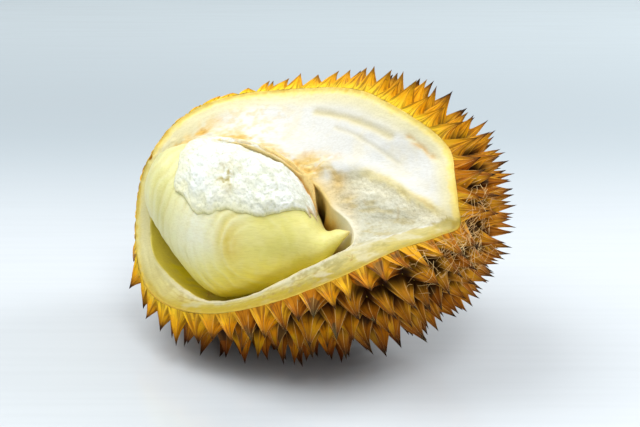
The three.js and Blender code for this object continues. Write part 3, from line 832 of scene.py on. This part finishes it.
def lobe():
    """The lobe of flesh: rings around X from one pointed end to the other, softly folded."""
    along = (1 - np.cos(np.pi * np.linspace(0, 1, LOBE_GRID[0] + 1))) / 2
    x = mix(LOBE[0][0], LOBE[-1][0], along)[:, None]
    angle = np.linspace(0, 360, LOBE_GRID[1], endpoint=False)[None]
    up, _, height, _ = spline(opened(LOBE), x)
    p = up + height * np.sin(np.radians(angle))
    flat = stack(x, p, 20 * np.cos(np.radians(angle)) + 0 * x)
    away = np.hypot(x - FOLD_CENTRE[0], p - FOLD_CENTRE[1]) + 2.6 * rough(flat, 17, 7)
    wave = np.sin(2 * np.pi * away / FOLD) + 0.3 * np.sin(2 * np.pi * away / (0.47 * FOLD) + 1)
    weight = step(away, 7, 20) * step(x, 18, -18) * step(np.cos(np.radians(angle)), -0.2, 0.3)
    weight = weight * mix(0.25, 1.15, step(rough(flat, 15, 18), -0.5, 0.6))
    weight = weight * mix(1, 0.6, step(-x, 44, 58))
    size = step(height, 0, 9)
    relief = 0.25 * wave * weight * size + 0.5 * size * rough(flat, 22, 8) + 0.05 * size * rough(
        flat * [0.35, 1, 1], 2.2, 9)
    points = lobe_surface(x, angle, relief)
    horn = step(x, 8, 22)
    blotch = rough(flat, 20, 10)
    colour = paint(
        srgb(235, 227, 132) + 0 * points,
        # Paler to the left and toward the top: partly paler flesh, partly painted light from above
        # left.
        (0.8 * step(-x, 20, 56), (240, 238, 172)),
        (0.7 * step(p, -20, -4) * step(blotch, -0.8, 0.5), (234, 230, 176)),
        # painted highlight on the left shoulder
        (0.85 * bell(np.hypot((x + 44) / 13, (p + 8) / 20)), (238, 239, 218)),
        # painted shade, greenish, low in the middle of the lobe
        (0.6 * bell(np.hypot((x - 2) / 17, (p + 20) / 7)), (194, 188, 90)),
        (0.85 * bell(np.hypot((x + 28) / 6, (p + 17) / 12)), (222, 198, 78)),
        # painted shadow of a fold near the left end
        (0.55 * bell(np.hypot((x + 66) / 5, (p - 2) / 15)), (200, 194, 112)),
        # Saturated yellow along the bottom: its own colour, lifted by painted light against its
        # shade.
        (0.75 * step(-p, 18, 34), (246, 234, 106)),
        # painted highlight on the fold crests, and painted shade in their troughs
        (0.5 * weight * step(wave, 0.1, 1.2), (240, 238, 192)),
        (0.45 * weight * step(-wave, 0.2, 1.2), (204, 190, 84)),
        (0.5 * horn, (234, 226, 142)),
        (0.7 * step(x, 26, 31), (206, 176, 98)),
    )
    faces = grid_faces(*points.shape[:2], around=True, flip=True)
    values = {"colour": colour.reshape(-1, 3)}
    return piece("flesh", points.reshape(-1, 3), triangle_cut(faces), values, weld=WELD)


CAP_GRID = (230, 140)  # points along, and up
HELD_ROWS = 40  # more rows, where the torn pith is still held by the far pith
HELD_T = 0.3  # and how far past t = 1 those go
CAP_THICK = 4.2
CAP_OVER = 0.3  # from the lobe to its under side
CAP_SHEET = 1.2  # how thick it is where it is held
PIT = (-30, 38, 7, 13)  # x, angle around, and its reach each way
LET_GO = (14, 8)  # x past which it has come away from the far pith, and up to which it is held
FAR_EDGE = [corner[:2] for corner in CHAMBER_EDGE[:10:-1]]  # from left to right


def cap():
    """
    The torn pith: a patch on the lobe by s along and t up, lumpy, thick in its middle and
    thin along its ragged edges, with a pit in its upper left. Past t = 1 it runs on to the
    far pith and into it: y goes evenly from the patch's upper edge to 5 mm past the chamber's
    edge, and z eases from that edge to the far pith's height there, then sinks below it.
    """
    s = np.linspace(0, 1, CAP_GRID[0])[:, None]
    held_t = 1 + HELD_T * np.linspace(0, 1, HELD_ROWS + 1)[1:]
    t = np.append(np.linspace(0, 1, CAP_GRID[1]), held_t)[None]
    past = np.clip((t - 1) / HELD_T, 0, 1)
    spread = stack(60 * s + 0 * t, 40 * t + 0 * s, 0 * s * t)
    ragged = rough(spread, 9, 12, 4)
    x = mix(*CAP_X, s) + 2.2 * ragged * (step(s, 0.75, 1) - 0.6 * step(s, 0.25, 0))
    angle = mix(cap_lower_edge(x, spread), CAP_ANGLE, np.minimum(t, 1)) + 3 * past
    held = step(x + 2.5 * ragged, *LET_GO)
    upper = 5 * (1 - t) + 9 * held
    lower = mix(3.5, 10, step(s, 0.45, 0.8)) * t
    edge = np.clip(reduce(np.minimum, (9 * (1 - s), 2.4 * s, lower, upper)), 0, 1)
    pit = bell(np.hypot((x - PIT[0]) / PIT[2], (angle - PIT[1]) / PIT[3]))
    lumps = 0.6 + 0.34 * rough(spread, 8, 14, 3) + 0.16 * rough(spread, 2.4, 15, 3)
    thick = np.sqrt(edge) * CAP_THICK * np.clip(lumps * (1 - 0.7 * pit), 0.05, 1)
    over = lobe_surface(x, angle, 0.35 + thick)
    under = lobe_surface(x, angle, CAP_OVER + 0 * edge)
    fine = rough(spread, 2.2, 16, 3)
    blotch = rough(spread, 9, 17, 3)
    top = over[:, CAP_GRID[1] - 1, None]
    far_y = np.interp(x, *zip(*FAR_EDGE))
    y = mix(top[..., 1], far_y + 5, past)
    level = inside_height(x, np.maximum(y, far_y + 1.5)) + 1.3 + 0.6 * blotch + 0.35 * fine
    z = mix(top[..., 2], level, step(past, 0, 0.7)) - 3.4 * step(past, 0.72, 1.05)
    reach = (held * (past > 0))[..., None]
    over = mix(over, stack(x, y, z), reach)
    under = mix(under, stack(x, y, z - CAP_SHEET), reach)
    colour = cap_colour(s, t, past, x, lumps, pit, fine, blotch, spread)
    points = np.stack([over, under]).reshape(-1, 3)
    values = {"colour": np.vstack([colour.reshape(-1, 3)] * 2)}
    return piece("torn_pith_flake", points, sheet_faces(*over.shape[:2]), values)


def sheet_faces(rows, columns):
    """Faces of a closed sheet: an upper grid, an under grid after it, and a wall all round."""
    quads = grid_faces(rows, columns)
    rim = np.concatenate([
        np.arange(columns), np.arange(1, rows) * columns + columns - 1,
        rows * columns - 1 - np.arange(1, columns), np.arange(rows - 2, 0, -1) * columns,
    ])
    count = rows * columns
    wall = stack(rim, np.roll(rim, -1), np.roll(rim, -1) + count, rim + count)
    return np.vstack([triangle_cut(q) for q in (quads[:, ::-1], quads + count, wall)])


def cap_lower_edge(x, spread):
    """Angle around the lobe of the patch's lower edge: level, but for its ends and waves."""
    up, _, height, _ = spline(opened(LOBE), x)
    lowest = np.degrees(np.arcsin(np.clip((CAP_UP - up) / np.maximum(height, 1), -1, 1)))
    corner = CAP_CORNER[0] * (1 - step(x, CAP_X[0], CAP_X[0] + CAP_CORNER[1]))
    return np.minimum(lowest, CAP_LOWEST) + corner + 4.0 * rough(spread * [1, 0, 0], 8, 13, 4)


def cap_colour(s, t, past, x, lumps, pit, fine, blotch, spread):
    """White pith, creamy where thin and torn, with a brown pit."""
    # lines of painted shade standing for creases
    painted_crease_shade = np.abs(rough(spread, 10, 19, 2)) * 3 - 0.75
    return paint(
        srgb(237, 240, 232) + 0 * spread,
        (0.8 * step(s, 0.45, 0.05), (228, 234, 230)),
        # painted shade: greyer in the dips between lumps
        (0.5 * step(-lumps, -0.62, -0.3), (220, 224, 208)),
        (0.5 * step(fine, 0.3, 1.0), (226, 228, 208)),
        (0.95 * pit * step(fine + blotch, -1.2, 0.2), (206, 196, 144)),
        (0.8 * pit * step(fine, 0.1, 0.8), (164, 148, 84)),
        (0.6 * pit * step(blotch, 0.2, 0.7), (210, 190, 140)),
        # painted shade of creases
        (0.55 * step(painted_crease_shade, 0.0, -0.7), (206, 208, 180)),
        (0.6 * step(t, 0.8, 1.0) * step(blotch, -0.3, 0.5), (240, 228, 190)),
        (0.8 * past * step(fine + blotch, -0.3, 0.6), (234, 208, 140)),
        (0.6 * step(past, 0.3, 0.9) * step(fine - blotch, 0.2, 0.9), (214, 170, 88)),
        (0.95 * step(t + 0.03 * blotch, 0.97, 1.03) * step(x + 6 * blotch, -22, -6),
         (236, 204, 128)),
        (0.7 * step(past + 0.2 * fine, 0.5, 0.0) * (t > 1) * step(x, -14, 4), (200, 140, 52)),
        (0.8 * step(s + 0.05 * fine, 0.18, 0.0), (233, 232, 198)),
        (0.8 * step(t + 0.06 * fine, 0.22, 0.02) * step(s, 0.8, 0.5), (232, 230, 192)),
        (0.75 * step(s, 0.965, 1.0), (196, 160, 96)),
        (0.6 * step(t, 0.05, 0.0), (204, 198, 120)),
    )


# ---- Dry fibres -------------------------------------------------------------------------

THREADS, TUFT_THREADS = 190, 9
THREAD_ANGLE, THREAD_SPREAD = -24, (34, 26)  # about Z, and two strayings from it, in degrees
THREAD_BELOW, THREAD_OUT = (1.5, 24), (2.5, 8)  # degrees below the rim, and out of the skin
THREAD_LONG, TUFT_LONG = (3.5, 11), (1.5, 3.5)
TUFTS = [[34.5, -42.0, 27.6], [-45.7, -41.5, -13.0]]
LONG_START, LONG_WAY, LONG = [46, -47, 22], [1, 0.16, -0.1], 22  # place, way and length
BEND = (0.06, 0.24)  # as a share of a thread's length
THREAD_RADIUS = 0.11
THREAD_SIDES, THREAD_JOINTS = 5, 18


def threads():
    """
    Dry fibres caught between the spines at the right end, one long one in front, and two
    small tufts. Each is a thin tube that narrows along a path, a straight way bent in two
    slow waves.
    """
    index = np.arange(THREADS)
    angle = THREAD_ANGLE + THREAD_SPREAD[0] * (chance(index, 21) - 0.5)
    angle += THREAD_SPREAD[1] * (chance(index, 31) - 0.5)
    below = mix(*THREAD_BELOW, chance(index, 22) ** 1.7)
    point, normal = skin(sphere(angle, rim_at(angle)[2] + below))
    along = unit(np.cross(normal, [0, 0, 1.0]) + 1.6 * (stack(
        *(chance(index, kind) for kind in (23, 24, 25))) - 0.5))
    length = mix(*THREAD_LONG, chance(index, 26))
    start = point + normal * mix(*THREAD_OUT, chance(index, 27))[:, None]
    tufts = np.repeat(TUFTS, TUFT_THREADS, axis=0)
    more = np.arange(THREADS, THREADS + len(tufts))
    spread = stack(*(chance(more, kind) for kind in (23, 24, 25))) - 0.5
    start = np.vstack([start, tufts + 1.5 * spread, [LONG_START]])
    along = np.vstack([along, unit(spread + [0, -0.1, 0.25]), unit(np.array([LONG_WAY]))])
    normal = np.vstack([normal, unit(np.cross(spread, [1.0, 2, 3])), [[0, -0.8, 0.6]]])
    length = np.concatenate([length, mix(*TUFT_LONG, chance(more, 26)), [LONG]])
    index = np.arange(len(start))
    s = np.linspace(0, 1, THREAD_JOINTS)[None, :, None]
    across = unit(np.cross(along, normal))
    phase = 2 * np.pi * stack(chance(index, 28), chance(index, 29))[:, None]
    bend = length[:, None, None] * mix(*BEND, chance(index, 30))[:, None, None]
    path = (
        start[:, None] + along[:, None] * length[:, None, None] * s
        + across[:, None] * bend * (np.sin(3.2 * s + phase[..., :1]) - np.sin(phase[..., :1]))
        + normal[:, None] * 0.6 * bend * (np.sin(4 * s + phase[..., 1:]) - np.sin(phase[..., 1:]))
    )
    return piece("dry_fibres", *tubes(path, normal, THREAD_RADIUS * (1 - 0.6 * s**2)))


def tubes(path, beside, radius):
    """Points and faces of a closed tube on each path: a ring of points across it per joint."""
    forward = unit(np.gradient(path, axis=1))
    one = unit(np.cross(forward, beside[:, None]))
    other = np.cross(forward, one)
    around = np.linspace(0, 2 * np.pi, THREAD_SIDES, endpoint=False)[:, None]
    points = path[:, :, None] + radius[..., None] * (
        one[:, :, None] * np.cos(around) + other[:, :, None] * np.sin(around))
    size = THREAD_JOINTS * THREAD_SIDES
    first = (np.arange(len(path)) * size)[:, None, None]
    sides = (grid_faces(THREAD_JOINTS, THREAD_SIDES, around=True)[None] + first).reshape(-1, 4)
    fan = np.array([[0, k, k + 1] for k in range(1, THREAD_SIDES - 1)])
    ends = np.concatenate([fan[:, ::-1], fan + size - THREAD_SIDES])
    faces = np.vstack([triangle_cut(sides), (ends[None] + first).reshape(-1, 3)])
    return points.reshape(-1, 3), faces


# ---- Materials --------------------------------------------------------------------------


class Finish:
    """A material under construction, with short calls for the nodes used most."""

    def __init__(self, name, **shader):
        self.material = bpy.data.materials.new(name)
        self.material.use_nodes = True
        self.tree = self.material.node_tree
        self.shader = self.tree.nodes["Principled BSDF"]
        for key, value in shader.items():
            self.shader.inputs[key.replace("_", " ")].default_value = value
        place = self.tree.nodes.new("ShaderNodeTexCoord").outputs["Object"]
        self.place = self.node("ShaderNodeVectorMath", place, operation="SCALE")
        self.place.node.inputs["Scale"].default_value = 1000

    def node(self, kind, *inputs, output=0, **settings):
        """A node with its settings and its first inputs, values or other nodes' outputs."""
        node = self.tree.nodes.new(kind)
        for key, value in settings.items():
            setattr(node, key, value)
        for socket, value in zip(node.inputs, inputs):
            self.put(value, socket)
        return node.outputs[output]

    def put(self, value, socket):
        """A value, or another node's output, into a socket."""
        if isinstance(value, bpy.types.NodeSocket):
            self.tree.links.new(value, socket)
        elif value is not None:
            socket.default_value = value

    def kept(self, name, colour=False):
        """A value kept at the mesh's points."""
        return self.node("ShaderNodeAttribute", attribute_name=name, output=0 if colour else 2)

    def layout(self, name):
        """The two numbers of a layout kept at the corners of faces."""
        pair = self.node("ShaderNodeUVMap", uv_map=name)
        split = self.node("ShaderNodeSeparateXYZ", pair).node
        return split.outputs["X"], split.outputs["Y"]

    def math(self, operation, a, b=None):
        """One or two numbers through an operation."""
        return self.node("ShaderNodeMath", a, b, operation=operation)

    def times(self, *numbers):
        """Product of numbers."""
        return reduce(lambda a, b: self.math("MULTIPLY", a, b), numbers)

    def plus(self, *numbers):
        """Sum of numbers."""
        return reduce(lambda a, b: self.math("ADD", a, b), numbers)

    def range(self, value, low, high, start=0.0, end=1.0):
        """From start to end, smoothly, as a value goes from low to high."""
        return self.node(
            "ShaderNodeMapRange", value, low, high, start, end, interpolation_type="SMOOTHSTEP")

    def blend(self, share, a, b, kind="MIX"):
        """From colour a to colour b by a share."""
        node = self.tree.nodes.new("ShaderNodeMix")
        node.data_type = "RGBA"
        node.blend_type = kind
        for name, value in (("Factor_Float", share), ("A_Color", a), ("B_Color", b)):
            if isinstance(value, tuple):
                value = (*srgb(*value), 1)
            self.put(value, next(s for s in node.inputs if s.identifier == name))
        return next(s for s in node.outputs if s.identifier == "Result_Color")

    def layers(self, colour, *over):
        """Colours laid over one in turn, each (share, colour) or (share, colour, "MULTIPLY")."""
        for share, *rest in over:
            colour = self.blend(share, colour, *rest)
        return colour

    def grain(self, size, stretch=(1, 1, 1), detail=3.0, at=None, distortion=0.0):
        """Noise from 0 to 1 of a size in millimetres, stretched along the object's axes."""
        scale = tuple(1 / (size * s) for s in stretch)
        mapped = self.node("ShaderNodeMapping", at or self.place, (0, 0, 0), (0, 0, 0), scale)
        node = self.node("ShaderNodeTexNoise", mapped).node
        node.inputs["Scale"].default_value = 1
        node.inputs["Detail"].default_value = detail
        node.inputs["Distortion"].default_value = distortion
        return node.outputs[0]

    def bump(self, *layers):
        """Bumps from (height, millimetres) layers, into the shader's normal."""
        normal = None
        for height, depth in layers:
            node = self.node("ShaderNodeBump").node
            node.inputs["Distance"].default_value = depth / 1000
            self.tree.links.new(height, node.inputs["Height"])
            if normal:
                self.tree.links.new(normal, node.inputs["Normal"])
            normal = node.outputs["Normal"]
        self.tree.links.new(normal, self.shader.inputs["Normal"])

    def done(self, obj, colour, roughness=None):
        """Links colour and roughness, and gives the finish to a piece."""
        self.tree.links.new(colour, self.shader.inputs["Base Color"])
        if roughness:
            self.tree.links.new(roughness, self.shader.inputs["Roughness"])
        obj.data.materials.append(self.material)


def rind_finish(obj):
    """
    Golden feet, brown flanks and dark tips, with pale ridges and streaks up each flank. Painted
    shade, with some dark dirt, darkens the valleys between spines and the spines near the floor.
    """
    look = Finish("rind", Roughness=0.6, Specular_IOR_Level=0.12)
    span, plus, times = look.range, look.plus, look.times
    t, r = look.layout("flank")
    own, side = look.layout("spine")
    below, gold, dull, pale = (look.kept(name) for name in ("below", "gold", "dull", "pale"))
    lane = look.node("ShaderNodeCombineXYZ", plus(times(t, 3.4), times(side, 91.0)),
                     times(r, 1.1), times(own, 57.0))
    streaks = look.grain(1.0, at=lane, detail=2.5)
    patches = look.grain(11.0, detail=4.0)
    specks = look.grain(1.5, detail=4.0)
    rise = plus(r, times(plus(streaks, -0.5), 0.4))
    ripe = span(pale, 1.0, 0.0)
    shade = times(span(side, 0.4, 0.8), span(gold, 0.9, 0.3), 0.8)
    brown = span(plus(rise, times(own, 0.22), times(gold, -0.12)), 0.42, 0.92)
    dark = span(plus(rise, times(specks, 0.3), times(own, 0.16)), 0.92, 1.16)
    grey = times(span(patches, 0.55, 0.62), span(side, 0.5, 0.7), 0.8)
    # Painted shade, with some dark dirt: the feet of the flanks darken between the spines.
    deep = times(span(r, 0.5, 0.06), span(below, 4.0, 12.0))
    corner = look.math("ABSOLUTE", plus(times(t, 2.0), -1.0))
    ridge = times(
        span(plus(corner, times(plus(specks, -0.5), 0.1)), 0.9, 0.985), span(r, 0.12, 0.34),
        span(r, 0.98, 0.84), span(own, 0.1, 0.6, 0.35, 1.0))
    # height above the floor, for painted shade on the spines low down
    up = look.node("ShaderNodeSeparateXYZ", look.place).node.outputs["Z"]
    warm = look.layers(
        look.blend(span(patches, 0.38, 0.62), (255, 204, 26), (240, 150, 12)),
        (times(span(own, 0.6, 0.95), 0.5), (228, 172, 60)),
        (times(dull, 0.6), (222, 150, 46)),
        (times(gold, 0.85), (250, 184, 18)),
    )
    colour = look.layers(
        look.blend(gold, (200, 136, 32), (255, 214, 48)),
        (span(rise, 0.05, 0.45), warm),
        (shade, (178, 98, 6)),
        (times(brown, ripe, 0.85), (132, 72, 14)),
        (times(dark, ripe, 0.94), (36, 24, 14)),
        (times(grey, span(gold, 0.7, 0.2)), (88, 80, 48)),
        # painted shade, with some dark dirt, in the valleys between spines
        (times(deep, span(gold, 1.0, 0.3, 0.5, 0.97)), (34, 8, 2)),
        (times(ridge, span(gold, 0.8, 0.3, 0.2, 0.9)), (240, 200, 130)),
        (span(streaks, 0.34, 0.58, 0.62, 0.0), (112, 54, 14), "MULTIPLY"),
        (span(specks, 0.6, 0.72, 0.0, 0.35), (96, 50, 16)),
        # painted shade: spines darken toward the floor, under the fruit
        (span(up, 32.0, 4.0, 0.0, 0.8), (140, 84, 44), "MULTIPLY"),
    )
    look.bump((streaks, 0.22), (specks, 0.2), (patches, 0.5))
    look.done(obj, colour, span(specks, 0.3, 0.7, 0.5, 0.72))


def pith_finish(obj):
    """Chalky pith with fine felt, coarser where torn, and a smoother damp chamber."""
    look = Finish("pith", Roughness=0.8, Specular_IOR_Level=0.3)
    coarse, damp = look.kept("coarse"), look.kept("damp")
    felt = look.grain(0.8, (3.0, 1, 1), detail=4.0, distortion=0.4)
    crumbs = look.grain(1.7, detail=5.0)
    # painted shade: darker where the crumbs' bumps are lowest, in the coarse pith's pits
    pit_shade = look.times(coarse, look.range(crumbs, 0.6, 0.36, 0.0, 0.22))
    colour = look.layers(
        look.kept("colour", colour=True),
        (look.range(felt, 0.3, 0.7, 0.16, 0.0), (200, 190, 160), "MULTIPLY"),
        (pit_shade, (196, 184, 146), "MULTIPLY"),
    )
    dry = look.range(damp, 1.0, 0.0)
    look.bump((felt, 0.16), (look.times(crumbs, coarse), 0.6), (look.times(crumbs, dry), 0.14))
    look.done(obj, colour, look.range(damp, 0.0, 1.0, 0.82, 0.45))


def flesh_finish(obj):
    """Creamy flesh, satin and a little see-through, with fine fibres along its folds."""
    look = Finish("flesh", Roughness=0.42, Specular_IOR_Level=0.45, Subsurface_Weight=0.18,
                  Subsurface_Radius=(1.0, 0.7, 0.25), Subsurface_Scale=0.003)
    fibres = look.grain(0.7, (6.0, 1.2, 1), detail=3.0, distortion=0.6)
    clouds = look.grain(7.0, detail=4.0)
    colour = look.layers(
        look.kept("colour", colour=True),
        (look.range(clouds, 0.4, 0.7, 0.0, 0.3), (236, 230, 170)),
        (look.range(fibres, 0.3, 0.6, 0.14, 0.0), (190, 176, 90), "MULTIPLY"),
    )
    look.bump((fibres, 0.1), (clouds, 0.35))
    look.done(obj, colour, look.range(clouds, 0.3, 0.7, 0.36, 0.5))


def flake_finish(obj):
    """Crumbly white pith."""
    look = Finish("torn_pith", Roughness=0.85, Specular_IOR_Level=0.25)
    crumbs = look.grain(1.3, detail=5.0)
    colour = look.layers(
        look.kept("colour", colour=True),
        # painted shade: greenish grey in the low points of the crumbs
        (look.range(crumbs, 0.5, 0.34, 0.0, 0.3), (190, 194, 168), "MULTIPLY"),
    )
    look.bump((crumbs, 0.35), (look.grain(3.2, detail=3.0), 0.8))
    look.done(obj, colour)


def fibre_finish(obj):
    """Pale dry threads."""
    look = Finish("fibre", Roughness=0.55)
    tone = look.blend(look.range(look.grain(6.0), 0.35, 0.65), (236, 206, 142), (196, 150, 86))
    look.done(obj, tone)


# ---- Pieces and their finishes ----------------------------------------------------------

for make, finish, node, slot in (
    (rind, rind_finish, "husk", "husk"), (pith, pith_finish, "husk", "husk"),
    (lobe, flesh_finish, "flesh_lobe", "flesh"), (cap, flake_finish, "torn_pith", "pith"),
):
    made = make()
    finish(made)
    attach(made, "root")
    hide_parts(node)

fibres = threads()
fibre_finish(fibres)
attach(fibres, "root")

# ---- Floor, light and camera ------------------------------------------------------------

bpy.ops.mesh.primitive_plane_add(size=6)
floor = bpy.context.object
floor.name = "floor"
look = Finish("pale_floor", Roughness=0.16, Specular_IOR_Level=0.9)
away = look.node("ShaderNodeSeparateXYZ", look.place).node.outputs["Y"]
# painted reflection: faint darker streaks along X for the floor's streaky reflections
reflection_streaks = look.grain(5.0, (30, 1, 1), detail=2.0)
# Painted light: the floor's tone by distance, lighter far away against the lamps' fall-off, sets
# the backdrop's gradient.
look.done(floor, look.layers(
    look.blend(look.range(away, 90.0, 340.0), (215, 221, 225), (189, 200, 206)),
    (look.range(away, 340.0, 820.0), (228, 240, 245)),
    (look.range(reflection_streaks, 0.35, 0.7, 0.0, 0.12), (196, 202, 206)),
))

world = bpy.data.worlds.new("studio")
world.use_nodes = True
sky = world.node_tree.nodes["Background"]
sky.inputs["Color"].default_value = (0.92, 0.96, 1, 1)
seen = world.node_tree.nodes.new("ShaderNodeTexCoord").outputs["Generated"]
height = world.node_tree.nodes.new("ShaderNodeSeparateXYZ")
world.node_tree.links.new(seen, height.inputs[0])
rise = world.node_tree.nodes.new("ShaderNodeMapRange")
for name, value in (("From Min", 0.2), ("From Max", 0.95), ("To Min", 0.02), ("To Max", 0.9)):
    rise.inputs[name].default_value = value
world.node_tree.links.new(height.outputs["Z"], rise.inputs[0])
world.node_tree.links.new(rise.outputs[0], sky.inputs["Strength"])
bpy.context.scene.world = world


def lamp(name, place, size, watts, mirrored=True):
    """A square soft lamp at a place, aimed at the fruit, mirrored in the floor or not."""
    light = bpy.data.lights.new(name, "AREA")
    light.size, light.energy = size, watts
    obj = bpy.data.objects.new(name, light)
    obj.location = place
    obj.visible_glossy = mirrored
    aim = np.array([0, 0, 0.07]) - place
    obj.rotation_euler = (
        np.arctan2(np.hypot(*aim[:2]), -aim[2]), 0, np.arctan2(-aim[0], aim[1]))
    bpy.context.collection.objects.link(obj)


lamp("key", (-0.65, 0.1, 1.1), 0.9, 10.4)
lamp("front", (0.3, -0.6, 1.35), 0.5, 5.5)
lamp("low_front", (0.6, -1.8, 0.3), 0.5, 8, mirrored=False)
lamp("back_right", (1.0, 0.4, 0.7), 0.5, 10)

camera = bpy.data.objects.new("camera", bpy.data.cameras.new("camera"))
camera.data.lens, camera.data.sensor_width = 70, 36
camera.location = (0.00135, -0.58117, 0.30265)
camera.rotation_euler = (np.radians(68), 0, 0)
bpy.context.collection.objects.link(camera)
bpy.context.scene.camera = camera
bpy.context.scene.view_settings.view_transform = "Standard"
